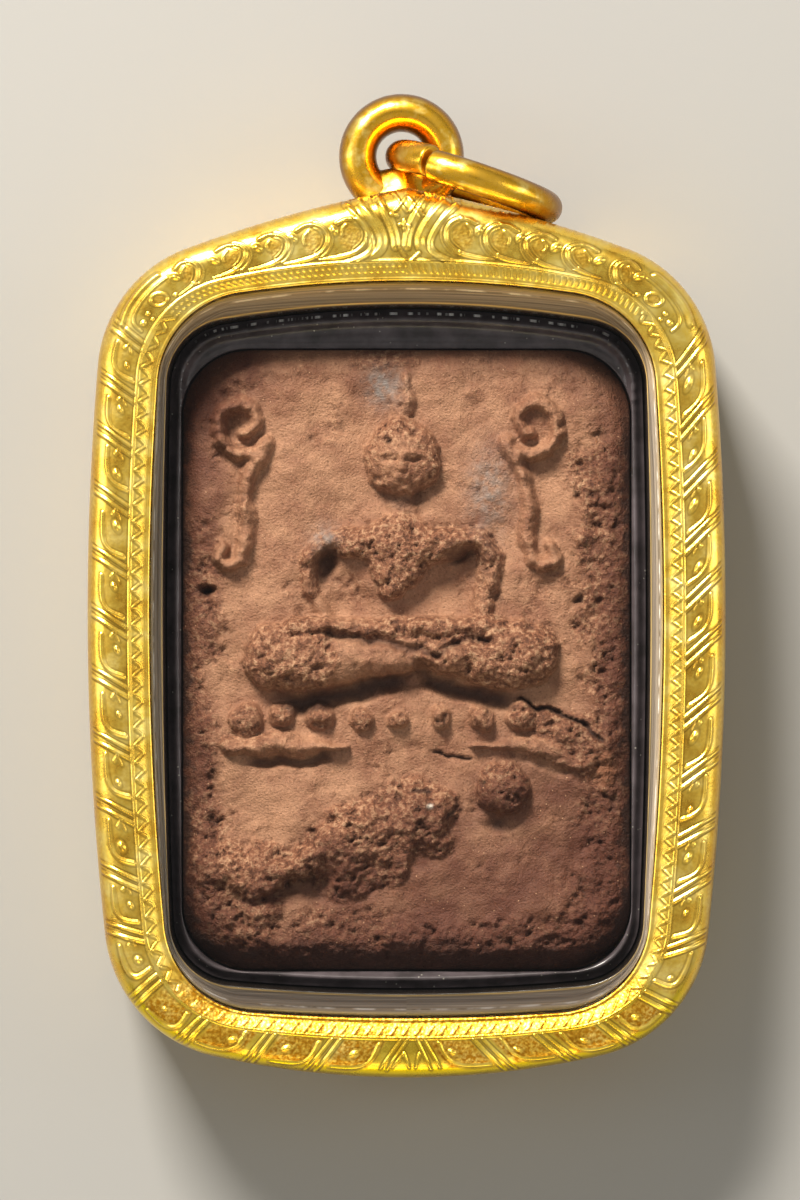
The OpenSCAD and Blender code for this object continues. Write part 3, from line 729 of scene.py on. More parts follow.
# Scrolls over the shoulders, each with a pool inside it and a bud at its open side
def chaseScrolls(lift, marks, run, out):
    for px, py, longHalf, wideHalf, lean in scrolls["pools"]:
        u = (run - px) * math.cos(lean) + (out - py) * math.sin(lean)
        v = (out - py) * math.cos(lean) - (run - px) * math.sin(lean)
        inPool = np.clip(1 - (u / longHalf) ** 2 - (v / wideHalf) ** 2, 0, 1)
        lift -= scrolls["sunk"] * inPool ** 1.3
        marks["mattedGroundAndShade"] = np.maximum(marks["mattedGroundAndShade"], scrolls["tone"] * smoothStep(inPool, 0.05, 0.7))
    offset, thin, low = scrolls["second"]
    for path, bud, hook in zip(scrolls["paths"], scrolls["buds"], scrolls["hooks"]):
        path = flowing(path)
        reach = pathDistance(run, out, path)
        inner = pathDistance(run, out, path[8:22])
        taper = 1 - scrolls["taper"] * (1 - smoothStep(run, path[-1][0], path[-1][0] + scrolls["taperLong"]))
        chase(lift, marks, np.abs(inner - offset), thin, low, 0.35)
        chase(lift, marks, reach, scrolls["wide"] * taper, scrolls["height"], 0.6)
        chase(lift, marks, pathDistance(run, out, flowing(hook)), 0.09, 0.07, 0.4)
        reach = np.hypot(run - bud[0], (out - bud[1]) * 0.8)
        chase(lift, marks, reach, scrolls["budWide"], scrolls["budHeight"], 0.35)
    ringX, ringY, ringWide = corner["ring"]
    chase(lift, marks, np.abs(np.hypot(run - ringX, out - ringY) - ringWide), 0.1, 0.08, 0.5)


# Hourglass under the bail, and the strokes in it and at the bottom middle
def chaseCrown(lift, marks, x, y):
    fromAxis = np.abs(x - crown["axis"])
    for path, wide, rise in crown["bands"]:
        chase(lift, marks, pathDistance(fromAxis, y, flowing(path)), wide, rise, 0.6)
    for path in crown["strokes"]:
        chase(lift, marks, pathDistance(x, y, path), crown["strokeWide"], crown["strokeHeight"], 0.6)


def borderRelief(run, out, side, plan, across):
    x, y = plan[:, 0], plan[:, 1]
    lift = np.zeros(len(run))
    marks = {mark: np.zeros(len(run)) for mark in ("mattedGroundAndShade", "cutDirtAndShade", "paintedLemonGlare")}
    atFoot = 1 - smoothStep(y, -23.5, -21.5)
    chaseSides(lift, marks, run, out, side, y, atFoot)
    # amber along the sides' outer margin, painted shade where it rounds over; a brighter lemon yellow at the
    # foot but not down its wall, painted glare
    marks["mattedGroundAndShade"] = np.maximum(marks["mattedGroundAndShade"], 0.3 * smoothStep(out, 1.75, 2.0) * (y > -20) * (y < 14))
    level = out / (1 + (cells["lowStretch"] - 1) * atFoot)
    rubbed = smoothStep(level, 1.4, 1.55) * (1 - marks["cutDirtAndShade"])
    marks["paintedLemonGlare"] = atFoot * np.maximum(rubbed, 0.35 * (1 - marks["mattedGroundAndShade"]) * (1 - marks["cutDirtAndShade"]))
    marks["paintedLemonGlare"] *= smoothStep(across, 0.0, 0.2)
    chaseCorners(lift, marks, run, out)
    chaseScrolls(lift, marks, run, out)
    chaseCrown(lift, marks, x, y)
    # fine notches along the shoulders' outer edge, and the thin ridge beside the milled band
    notch = np.abs(run / edging["notch"] % 1 - 0.5) * 4 - 1
    lift += edging["notchDeep"] * notch * smoothStep(y, 14.5, 16.5) * (1 - smoothStep(across, 0.2, 0.5))
    lift = np.maximum(lift, edging["ridgeHeight"] * raisedBar(out, edging["ridge"]))
    # dirt and painted shade browning the cut beside that ridge
    marks["cutDirtAndShade"] = np.maximum(marks["cutDirtAndShade"], 0.4 * np.exp(-((out - 0.14) / 0.05) ** 2))
    return lift * smoothStep(across, 0.0, 0.08), marks


# Milled band inside the border: a zigzag down the sides, two rows of dots over the left shoulder,
# leaning strokes over the right one, and ticks round the foot
def bandRelief(run, out, side, plan, across):
    depth, x, y = -out, plan[:, 0], plan[:, 1]
    marks = {mark: np.zeros(len(run)) for mark in ("mattedGroundAndShade", "cutDirtAndShade")}
    lift = np.zeros(len(run))
    foot, shoulder, height = edging["foot"], edging["shoulder"], edging["height"]
    for half, pitch in edging["pitch"].items():
        place = run % pitch / pitch
        for shift in (-1, 0, 1):
            zig = [((u + shift) * pitch, v) for u, v in edging["zig"]]
            reach = pathDistance(place * pitch, depth, zig)
            there = (y > foot) & (y < shoulder) & (side == half)
            chase(lift, marks, reach, edging["zigWide"], height, 0.5, there)
    pitch = edging["dotPitch"]
    for row, shift in edging["dotRows"]:
        dot = np.hypot((run % pitch / pitch + shift) % 1 * pitch - pitch / 2, depth - row)
        chase(lift, marks, dot, edging["dotWide"], height * 0.8, 0.3, (y > shoulder) & (side < 0))
    leaning = np.abs((run + depth * 0.5) % pitch - pitch / 2) * 0.9
    inside = between(depth, 0.1, 0.2, 0.6, 0.75)
    chase(lift, marks, leaning, edging["strokeWide"], height * 0.8, 0.3, inside * (y > shoulder) * (side > 0))
    ticks = np.abs((x - depth * 0.7) % edging["tickPitch"] - edging["tickPitch"] / 2) * 0.8
    chase(lift, marks, ticks, edging["tickWide"], height * 0.7, 0.35, inside * (y <= foot))
    lip = edging["lip"] * raisedBar(depth - edging["lipAt"], edging["lipWide"])
    edge = edging["ridgeHeight"] * raisedBar(depth, edging["ridge"])
    # amber and matted by the band's inner edge; at the foot the amber is painted shade that dulls the light the
    # band catches there
    marks["mattedGroundAndShade"] = np.clip(0.15 * smoothStep(depth, 0.6, 0.9) + 0.85 * (1 - smoothStep(y, -23.5, -20)), 0, 1)
    return np.maximum.reduce([lift, lip, edge]), marks


crest = goldHigh[2] - midZ
lipUnder = crest - rim["lip"]
caseTop = caseHigh[2] - midZ


def roundHeight(across):
    t = max(0.0, 1 - across / rim["roundWide"])
    full = rim["fullness"]
    return crest - rim["roundDeep"] * (1 - (1 - t ** full) ** (1 / full))


# Close the open ends of a half ring, and say which edges are their rims
def capEnds(mesh):
    bm = openMesh(mesh)
    ends = [e for e in bm.edges if e.is_boundary]
    places = [e.index for e in ends]
    bmesh.ops.holes_fill(bm, edges=ends)
    keepMesh(bm, mesh)
    return places


def makeBorders():
    flatRows, edgeRows, wide = rim["flatRows"], rim["edgeRows"], rim["roundWide"]
    rounding = [wide * (k / edgeRows) ** rim["edgePower"] for k in range(edgeRows)]
    # from the ridge line out over the border, down the wall and back inside the sheet
    section = [(1 - k / flatRows, -rim["band"] * (1 - k / flatRows) + wide * k / flatRows, crest)
               for k in range(flatRows)]
    section += [(0.0, w, roundHeight(w)) for w in [wide] + rounding[:0:-1] + [0.0]]
    section += [(0.0, 0.0, rim["wall"]), (0.0, 0.0, rim["gap"]), (0.0, rim["sheet"], rim["gap"]),
                (0.0, rim["sheet"], lipUnder), (1.0, -rim["band"], lipUnder)]
    section.append(section[0])
    for name, only in (("rimBorderRight", 1), ("rimBorderLeft", -1)):
        mesh = ringMesh(name, frameArcs, openingArcs, rim["step"], section, borderRelief, only)
        ends = capEnds(mesh)
        finishPiece(mesh, chasedGold, "case", "gold_frame")
        for k in ends:
            mesh.edges[k].use_edge_sharp = True


def makeBand():
    rows, reach = rim["bandRows"], rim["band"] + rim["lap"]
    section = [(1.0, rim["lap"] - reach * (1 - k / rows), crest - rim["bandDrop"] * smoothStep(k / rows, 0, 1))
               for k in range(rows, -1, -1)]
    over = caseTop + rim["overCase"]
    section += [(1.0, -rim["band"], lipUnder), (1.0, 0.0, lipUnder), (1.0, 0.0, over), (1.0, rim["lap"], over)]
    section.append(section[0])
    mesh = ringMesh("rimBand", frameArcs, openingArcs, rim["step"], section, bandRelief)
    finishPiece(mesh, chasedGold, "case", "gold_frame")


def makeBackRim():
    low, rows = rim["bandDrop"] - crest, rim["backRows"]
    section = [(1.0, 0.0, -lipUnder), (1.0, 0.0, low), (1.0, -rim["band"], low),
               (1.0, -rim["band"] - rim["backLip"], -crest)]
    for k in range(rows + 1):
        w = rim["roundWide"] * (1 - math.sin(k / rows * math.pi / 2))
        section.append((0.0, w, -roundHeight(w)))
    section += [(0.0, 0.0, -rim["gap"]), (0.0, rim["sheet"], -rim["gap"]), (0.0, rim["sheet"], -lipUnder)]
    section.append(section[0])
    section.reverse()
    mesh = ringMesh("rimBack", frameArcs, openingArcs, rim["backStep"], section)
    finishPiece(mesh, chasedGold, "case", "gold_frame")


makeBorders()
makeBand()
makeBackRim()

# Bail: a thick turned ring soldered to the top of the frame
bail = {"x": -0.28, "outer": 3.5, "hole": 1.4, "deep": 3.5, "square": 0.05, "sides": 40, "steps": 128,
        "lip": 0.06, "lipAt": -0.62, "lipWide": 0.12}


def makeBail():
    ring, wall = (bail["outer"] + bail["hole"]) / 2, (bail["outer"] - bail["hole"]) / 2
    centre = Vector((bail["x"], goldHigh[1] - bail["outer"], midZ)) * mm
    bm = bmesh.new()
    bmesh.ops.create_circle(bm, segments=bail["sides"], radius=1)
    for v in bm.verts:
        square = 1 + bail["square"] * math.sin(2 * math.atan2(v.co.y, v.co.x)) ** 2
        step = bail["lip"] * math.exp(-((v.co.x - bail["lipAt"]) / bail["lipWide"]) ** 2)
        v.co = Vector((ring + wall * v.co.x * square, 0, (bail["deep"] / 2 - step) * v.co.y * square)) * mm
    bmesh.ops.spin(bm, geom=bm.verts[:] + bm.edges[:], cent=(0, 0, 0), axis=(0, 0, 1), dvec=(0, 0, 0),
                   angle=2 * math.pi, steps=bail["steps"], use_merge=True)
    bmesh.ops.translate(bm, vec=centre, verts=bm.verts)
    finishPiece(keepMesh(bm, bpy.data.meshes.new("bail")), wornShadedGold, "case", "gold_frame")


makeBail()

# Neck: the saddle of solder that joins the bail to the top of the frame, wider at its foot.
# For each step: how far above the frame's peak, half its width and half its depth.
neck = {"sides": 48, "x": bail["x"] * 0.6, "saddle": 0.13,
        "steps": [(-1.3, 3.6, 2.5), (-0.75, 3.25, 2.35), (-0.35, 2.95, 2.15), (0.05, 2.7, 1.95),
                  (0.5, 2.45, 1.75), (1.0, 2.1, 1.5), (1.3, 1.7, 1.2)]}


def makeNeck():
    bm = bmesh.new()
    bmesh.ops.create_circle(bm, cap_ends=True, segments=neck["sides"], radius=1)
    rings = [bm.faces[:]]
    for k in range(len(neck["steps"]) - 1):
        made = bmesh.ops.extrude_face_region(bm, geom=rings[-1])["geom"]
        if k:
            bmesh.ops.delete(bm, geom=rings[-1], context="FACES_ONLY")
        rings.append([f for f in made if isinstance(f, bmesh.types.BMFace)])
        bmesh.ops.translate(bm, vec=(0, 0, 1), verts=rings[-1][0].verts)
    for v in bm.verts:
        rise, wide, deep = neck["steps"][round(v.co.z)]
        x, z = v.co.x * wide, v.co.y * deep
        v.co = Vector((neck["x"] + x, rim["peak"] + rise - neck["saddle"] * abs(x), midZ + z)) * mm
    finishPiece(keepMesh(bm, bpy.data.meshes.new("neck")), wornShadedGold, "case", "gold_frame")


makeNeck()

# Jump ring: round wire bent to a ring, its cut ends left a little apart and out of line
jumpRing = {"radius": 4.3, "wire": 1.8, "lie": -18.81, "off": 0.05, "cutAt": 125.0, "cut": 0.3, "twist": 0.2,
            "worn": 0.12, "sides": 28, "steps": 150}


def makeJumpRing():
    lie = math.radians(jumpRing["lie"])
    ahead = Vector((math.cos(lie), math.sin(lie), 0))
    square = Vector((-math.sin(lie), math.cos(lie), 0))
    eye = Vector((bail["x"], goldHigh[1] - bail["outer"], 0))
    centre = eye + ahead * jumpRing["radius"]
    centre.z = jumpRing["radius"] + jumpRing["wire"] / 2 + jumpRing["off"]
    halfCut = jumpRing["cut"] / 2 / jumpRing["radius"]
    start = math.radians(jumpRing["cutAt"]) + halfCut
    spoke = ahead * math.cos(start) + Vector((0, 0, math.sin(start)))
    bm = bmesh.new()
    bmesh.ops.create_circle(bm, cap_ends=True, segments=jumpRing["sides"], radius=jumpRing["wire"] / 2)
    turned = Matrix((spoke, square, spoke.cross(square))).transposed()
    bmesh.ops.transform(bm, matrix=turned.to_4x4(), verts=bm.verts)
    bmesh.ops.translate(bm, vec=centre + spoke * jumpRing["radius"], verts=bm.verts)
    steps = jumpRing["steps"]
    # the turn starts at the cut and runs back over the hole in the bail
    bmesh.ops.spin(bm, geom=bm.faces[:], cent=centre, axis=-square, dvec=square * (-jumpRing["twist"] / steps),
                   angle=2 * math.pi - 2 * halfCut, steps=steps, use_merge=False)
    bmesh.ops.remove_doubles(bm, verts=bm.verts, dist=0.001)
    rims = [e for e in bm.edges if any(len(f.verts) > 4 for f in e.link_faces)]
    bmesh.ops.bevel(bm, geom=rims, offset=jumpRing["worn"], segments=3, profile=0.5, affect="EDGES",
                    material=-1)
    bmesh.ops.scale(bm, vec=(mm, mm, mm), verts=bm.verts)
    finishPiece(keepMesh(bm, bpy.data.meshes.new("jumpRing")), wornShadedGold, "ring", "jump_ring")


makeJumpRing()

# Clear case: a window front and back, with a polished bevel, on a machined wall whose crest is
# rippled in strips from the opening inwards
clearCase = {
    "windowStep": 0.5, "pocketHalf": 2.8, "bevel": 0.12,
    "wallStep": 0.3, "wallTop": 2.75, "wallLow": 0.03, "inset": 0.12,
    "ripple": [0.0, 0.0, 0.02, 0.05, 0.01, 0.0, 0.03, 0.0, 0.0, 0.01, 0.05, 0.01, 0.0, 0.0], "rounded": 0.02,
}


def makeWindow(name, front):
    stations = halfStations(openingArcs, clearCase["windowStep"])
    loop = wholeLoop(halfPoints(openingArcs, stations, rim["fit"]))[:-1]
    low, high = clearCase["pocketHalf"], caseTop
    bm = bmesh.new()
    bmesh.ops.create_circle(bm, cap_ends=True, segments=len(loop), radius=1)
    bm.verts.ensure_lookup_table()
    for v, (x, y) in zip(bm.verts, loop):
        v.co = Vector((x, y, low))
    top = bmesh.ops.extrude_face_region(bm, geom=bm.faces[:])["geom"]
    bmesh.ops.translate(bm, vec=(0, 0, high - low), verts=[v for v in top if isinstance(v, bmesh.types.BMVert)])
    edges = [e for e in bm.edges if all(v.co.z > high - 0.01 for v in e.verts)]
    bmesh.ops.bevel(bm, geom=edges, offset=clearCase["bevel"], segments=4, profile=0.5, affect="EDGES",
                    material=-1)
    bmesh.ops.scale(bm, vec=(mm, mm, mm if front else -mm), verts=bm.verts)
    bmesh.ops.translate(bm, vec=(0, 0, midZ * mm), verts=bm.verts)
    mesh = keepMesh(bm, bpy.data.meshes.new(name))
    finishPiece(mesh, castAcrylic, "case", "case_front" if front else "case_back")
    mesh.shade_flat()
    for polygon in mesh.polygons:
        polygon.use_smooth = len(polygon.vertices) == 4


def makeWall(name, front):
    top, low, inset, rounded = (clearCase[key] for key in ("wallTop", "wallLow", "inset", "rounded"))
    strips = len(clearCase["ripple"])
    section = [(0.0, inset, low), (0.0, inset, top)]
    section += [(k / strips, 0.0, top + clearCase["ripple"][k]) for k in range(2, strips)]
    section += [(1.0, -rounded, top - rounded), (1.0, 0.0, top - inset), (1.0, 0.0, low), section[0]]
    section = [(share, extra, height if front else -height) for share, extra, height in section]
    mesh = ringMesh(name, openingArcs, pocketArcs, clearCase["wallStep"], section)
    finishPiece(mesh, paintedAcrylicEdge, "case", "case_front" if front else "case_back")


makeWindow("windowFront", True)
makeWindow("windowBack", False)
makeWall("wallFront", True)
makeWall("wallBack", False)

# Seat: the near-black ring between the wall and the tablet, with a bead along its outer edge that is
# knurled at the top, and a fine raised line further in where the ring is wide
seat = {
    "step": 0.22, "rows": 22, "corner": 3.6, "sunk": 0.12, "bead": 0.45, "beadAt": 0.55, "beadWide": 0.32,
    "knurl": 0.18, "knurlTurn": 9.0, "knurlFrom": 10, "dashes": (13.5, 14.6),
    "line": 0.06, "lineAt": 0.82, "lineWide": 0.08, "lineFrom": 1.5,
}
tabletHalf = (tabletHigh - tabletLow)[:2] / 2
tabletMiddle = (tabletHigh + tabletLow)[:2] / 2


def makeSeat():
    outer = wholeLoop(halfPoints(pocketArcs, halfStations(pocketArcs, seat["step"]), rim["fit"]))
    core = tabletHalf - seat["corner"]
    near = tabletMiddle + np.clip(outer - tabletMiddle, -core, core)
    away = outer - near
    inner = near + away / np.hypot(*away.T)[:, None] * (seat["corner"] + rim["fit"])
    width = np.hypot(*(outer - inner).T)
    length = pathLength(outer)
    rows = seat["rows"]

    # over the top from the outer edge to the inner one, then down, back underneath and closed
    def shape(column, row):
        share = np.clip((row - 1) / (rows - 4), 0, 1)
        across = share * width[column]
        bead = seat["bead"] * np.exp(-((across - seat["beadAt"]) / seat["beadWide"]) ** 2)
        knurl = seat["knurl"] * np.sin(length[column] * seat["knurlTurn"])
        knurl *= outer[column][:, 1] > seat["knurlFrom"]
        line = np.exp(-((across - seat["lineAt"] * width[column]) / seat["lineWide"]) ** 2)
        line *= seat["line"] * (width[column] > seat["lineFrom"])
        z = seatHigh[2] - seat["sunk"] + bead * (1 + knurl) + line
        z = np.where((row == 0) | (row >= rows - 2), seatLow[2], z)
        plan = outer[column] + (inner - outer)[column] * share[:, None]
        plan = np.where(((row == rows - 1) | (row == rows))[:, None], outer[column], plan)
        # where the painted glints run: along the top
        glintRow = smoothStep(outer[column][:, 1], *seat["dashes"])
        return np.column_stack([plan, z]), length[column], across, {"glintRow": glintRow}

    mesh = closeMesh(gridMesh("seatRing", len(outer) - 1, rows, shape))
    finishPiece(mesh, blackPolymerAndShade, "case", "seat")


makeSeat()

# Clay tablet. Its forms are tapered domes: one end, its radius, the other end, its radius,
# height, and how worn it is. Places are in millimetres from the tablet's middle.
tablet = {
    "columns": 262, "rows": 350, "corner": 3.6, "cornerWorn": 5.0, "edge": 1.3, "drop": 0.75, "plain": 3.6,
    "blend": 0.35, "lowForm": 1.2, "underSteep": 1.2, "overSteep": 0.9,
    "figure": [
        # head, topknot and its tip
        ((-0.25, 10.95), 2.15, (-0.25, 11.3), 2.15, 1.6, 0.75),
        ((-0.2, 13.95), 0.66, (-0.2, 14.35), 0.74, 0.5, 0.4),
        ((-0.15, 14.9), 0.4, (-0.1, 15.9), 0.28, 0.4, 0.5),
        # neck, shoulders and chest
        ((-0.25, 9.3), 0.8, (-0.3, 7.9), 1.0, 0.55, 0.2),
        ((-3.4, 6.45), 0.9, (-0.5, 6.2), 1.3, 1.2, 1.0),
        ((2.8, 6.4), 0.9, (-0.5, 6.2), 1.3, 1.2, 1.0),
        ((-0.45, 5.9), 2.2, (-0.75, 4.0), 0.75, 1.25, 1.0),
        # arms
        ((-3.4, 6.75), 0.6, (-4.6, 6.45), 0.55, 1.0, 0.9),
        ((-4.6, 6.45), 0.55, (-5.35, 5.6), 0.5, 0.95, 0.8),
        ((-5.35, 5.6), 0.5, (-5.35, 3.9), 0.45, 0.8, 0.6),
        ((-5.35, 3.9), 0.45, (-4.4, 2.2), 0.5, 0.5, 0.1),
        ((2.8, 6.75), 0.65, (3.95, 6.7), 0.65, 1.05, 0.9),
        ((3.95, 6.7), 0.65, (4.6, 5.85), 0.62, 1.0, 0.9),
        ((4.6, 5.85), 0.62, (4.62, 4.2), 0.62, 0.85, 0.7),
        ((4.62, 4.2), 0.62, (4.15, 2.3), 0.6, 0.7, 0.7),
        # hands in the lap, knees and crossed legs
        ((-6.2, 1.9), 0.5, (-2.5, 1.75), 0.6, 1.3, 1.0),
        ((-2.5, 1.75), 0.6, (1.5, 1.7), 0.75, 1.35, 1.0),
        ((1.5, 1.7), 0.75, (5.2, 1.95), 0.55, 1.3, 1.0),
        ((-7.3, 0.05), 1.95, (-5.8, 0.0), 2.1, 1.65, 0.85),
        ((6.6, 0.15), 1.95, (4.9, 0.05), 2.1, 1.65, 0.95),
        ((-5.8, -0.15), 1.85, (0.9, 0.45), 1.25, 1.45, 0.25),
        ((5.6, -0.05), 1.9, (1.6, 0.4), 1.2, 1.5, 0.75),
        # low steps of the throne
        ((-9.9, -4.85), 0.5, (-6.6, -4.75), 0.75, 0.9, 0.4),
        ((-6.6, -4.75), 0.75, (-3.2, -4.8), 0.06, 0.85, 0.0),
        ((3.5, -4.7), 0.06, (7.2, -4.75), 0.5, 0.52, 0.1),
        ((7.2, -4.75), 0.5, (9.5, -5.75), 0.4, 0.55, 0.5),
        ((7.9, -3.6), 0.9, (10.7, -4.9), 1.2, 0.55, 0.9),
        # knob and the worn ridge across the foot
        ((5.35, -7.35), 1.45, (5.3, -7.2), 1.45, 1.35, 1.0),
        ((-12.4, -11.5), 1.1, (-9.0, -12.0), 1.45, 0.9, 1.0),
        ((-9.0, -12.0), 1.45, (-5.9, -11.4), 1.15, 1.0, 1.0),
        ((-5.9, -11.4), 1.15, (-3.4, -10.3), 1.6, 1.05, 1.0),
        ((-3.4, -10.3), 1.6, (0.3, -9.1), 2.1, 1.05, 1.0),
        ((0.3, -9.1), 2.1, (1.7, -8.6), 1.2, 0.95, 1.0),
        ((-3.4, -11.6), 1.8, (-0.4, -11.0), 1.0, 0.6, 0.9),
        ((-11.5, -13.4), 1.6, (-8.6, -14.2), 1.8, 0.5, 1.0),
        # lump on the top edge
        ((-2.5, 16.8), 0.6, (0.2, 16.85), 0.5, 0.3, 0.7),
    ],
    # calm, worn face: brows with the nose between them, lips, and lowered lids
    "face": [((-0.25, 11.35), 0.22, (-0.25, 10.75), 0.34, 0.26), ((-0.5, 10.2), 0.2, (0.0, 10.2), 0.2, 0.16),
             ((-1.25, 11.55), 0.14, (-0.4, 11.6), 0.14, 0.12), ((-0.1, 11.6), 0.14, (0.75, 11.55), 0.14, 0.12)],
    "lids": [[(-1.2, 11.2), (-0.85, 11.1), (-0.5, 11.2)], [(0.0, 11.2), (0.35, 11.1), (0.7, 11.2)]],
    # centre and radius of each bud under the legs
    "buds": [(-9.0, -3.3, 0.95), (-6.97, -3.0, 0.78), (-4.8, -3.1, 0.8), (-2.49, -3.25, 0.7),
             (-0.48, -3.3, 0.58), (1.93, -3.12, 0.66), (4.23, -3.2, 0.72), (6.41, -3.12, 0.9)],
    # hollows: centre, radii, depth and how much shade is painted in it
    "hollows": [(-4.5, 5.45, 0.6, 0.95, 0.75, 0.7), (2.85, 5.95, 0.8, 0.42, 0.6, 0.6),
                (-3.2, 3.5, 1.3, 1.5, 0.35, 0), (2.5, 3.9, 1.6, 1.5, 0.3, 0),
                (-11.1, 3.9, 0.5, 0.28, 0.9, 1.0), (9.7, 3.4, 0.35, 0.2, 0.5, 0.8),
                (-0.87, 12.2, 0.16, 0.13, 0.4, 0.9), (-0.25, 11.1, 3.3, 3.4, 0.16, 0)],
    # cuts under the forms, cracks and tears: path, half width, depth and how much shade is painted in it
    "cuts": [([(-7.6, -2.2), (-5.9, -2.5), (-4.3, -2.15), (-1.8, -1.45), (0.6, -1.0)], 0.66, 0.6, 0.9),
             ([(0.3, -1.0), (2.3, -1.5), (4.1, -2.05), (6.6, -2.35)], 0.6, 0.6, 0.9),
             ([(-9.0, -5.6), (-7.4, -5.8), (-5.9, -5.7), (-3.9, -5.25)], 0.34, 0.45, 0.6),
             ([(6.1, -5.4), (7.7, -5.85), (9.3, -6.4)], 0.28, 0.2, 0.25),
             ([(4.2, -8.75), (4.95, -9.15), (6.0, -8.95)], 0.5, 0.5, 0.8),
             ([(-10.0, -13.3), (-7.9, -12.9), (-5.6, -12.5), (-4.0, -12.9)], 0.6, 0.3, 0.35),
             ([(-1.7, 9.3), (-0.2, 8.75), (1.4, 9.4)], 0.5, 0.2, 0.5),
             ([(2.5, 5.3), (1.2, 3.9), (-0.2, 2.9)], 0.5, 0.1, 0.15),
             ([(6.1, -2.1), (7.0, -2.45), (7.3, -2.75), (8.0, -2.62), (8.9, -3.1), (9.9, -3.7), (11.3, -4.65)],
              0.15, 0.6, 1.0),
             ([(1.4, -5.05), (2.5, -5.35), (3.7, -5.4)], 0.12, 0.3, 0.9),
             ([(0.25, -7.3), (1.0, -7.4), (1.5, -7.65)], 0.16, 0.4, 0.9),
             ([(1.7, -8.45), (2.3, -8.6), (2.8, -8.55)], 0.14, 0.3, 0.8)],
    # folds cut right into the lap: path, half width, depth and how much shade is painted in it
    "folds": [([(-4.2, 1.55), (-2.6, 1.15), (-1.0, 0.95), (1.6, 0.3)], 0.32, 0.4, 0.55),
              ([(1.5, 0.35), (2.7, 1.0), (4.6, 1.3)], 0.26, 0.32, 0.5),
              ([(0.2, 0.2), (0.9, -0.5), (1.0, -1.1)], 0.4, 0.3, 0.25)],
    "vineHeight": 0.75, "vineAxis": -1.1,
    # grey dirt: centre, squares of its radii and strength; then one flake and one pale chip
    "stains": [(-1.3, 15.3, 0.9, 0.9, 0.9), (4.6, 9.4, 1.2, 5.0, 0.55), (-4.6, 6.9, 0.5, 0.5, 0.6)],
    "spall": (11.0, -6.1, 0.7, 1.1, 0.55), "chip": (1.3, -8.1, 0.17, 0.13, 1.0),
    # down the side: height as a share of "plain", and how far it is drawn in
    "side": [(0.35, 1.0), (0.12, 1.0), (0.03, 0.995), (0.0, 0.985)],
}


def domeHeight(x, y, form):
    (ax, ay), ra, (bx, by), rb, height = form[:5]
    dx, dy = bx - ax, by - ay
    t = np.clip(((x - ax) * dx + (y - ay) * dy) / (dx * dx + dy * dy), 0, 1)
    offX, offY = x - ax - dx * t, y - ay - dy * t
    offY = offY * np.where(offY < 0, tablet["underSteep"], tablet["overSteep"])
    q = np.hypot(offX, offY) / (ra + (rb - ra) * t)
    if height < tablet["lowForm"]:
        q = q / 1.2
        return height * np.clip(1 - q * q, 0, None) ** 1.3, q
    return height * np.sqrt(np.clip(1 - q * q, 0, None)), q


# The higher of two surfaces, with a soft fillet where they meet
def blendMax(a, b, soft):
    near = np.clip(1 - np.abs(a - b) / soft, 0, 1) * (np.minimum(a, b) > 0)
    return np.maximum(a, b) + near * near * soft / 4


# A tendril curled in at its top and out again at its foot, the same at each side of the figure
def vineForms():
    path = []
    for k in range(17):
        t = k / 16
        angle, radius = math.radians(620 - 400 * t), 0.5 + 1.3 * t
        path.append((7.0 + radius * math.cos(angle), 13.2 + radius * math.sin(angle) * 1.05))
    path += [(6.1, 11.3), (6.6, 10.2), (6.8, 8.6), (6.75, 6.6), (7.0, 5.6), (7.7, 5.2), (8.3, 5.7), (8.0, 6.4)]
    forms = []
    for k, (a, b) in enumerate(zip(path, path[1:])):
        width = 0.3 + 0.16 * math.sin(min(1.0, k / 16) * math.pi / 2) - 0.16 * max(0, k - 19) / 5
        forms.append((a, width, b, width, tablet["vineHeight"], 0.3))
    across = 2 * tablet["vineAxis"]
    return forms + [((across - a[0], a[1]), ra, (across - b[0], b[1]), rb, height, worn)
                    for a, ra, b, rb, height, worn in forms]


def noiseField(x, y, size, octaves, seed):
    scale = 1 / size
    return np.array([noise.fractal(Vector((u * scale, v * scale, seed)), 0.9, 2.1, octaves)
                     for u, v in zip(x, y)])


# Rounded grains: 1 at the middle of each, 0 between them
def grainField(x, y, size, seed):
    depth = np.empty(len(x))
    for k, (u, v) in enumerate(zip(x / size, y / size)):
        depth[k] = 1 - min(1.0, noise.voronoi(Vector((u, v, seed)))[0][0] / 0.75)
    return depth


# Distance in from an outline whose corners are rounder than the seat's
def insideEdge(x, y):
    rounder = tablet["cornerWorn"]
    cornerX, cornerY = np.abs(x) - tabletHalf[0] + rounder, np.abs(y) - tabletHalf[1] + rounder
    inside = rounder - np.hypot(np.maximum(cornerX, 0), np.maximum(cornerY, 0))
    return np.where((cornerX < 0) & (cornerY < 0), rounder - np.maximum(cornerX, cornerY), inside)
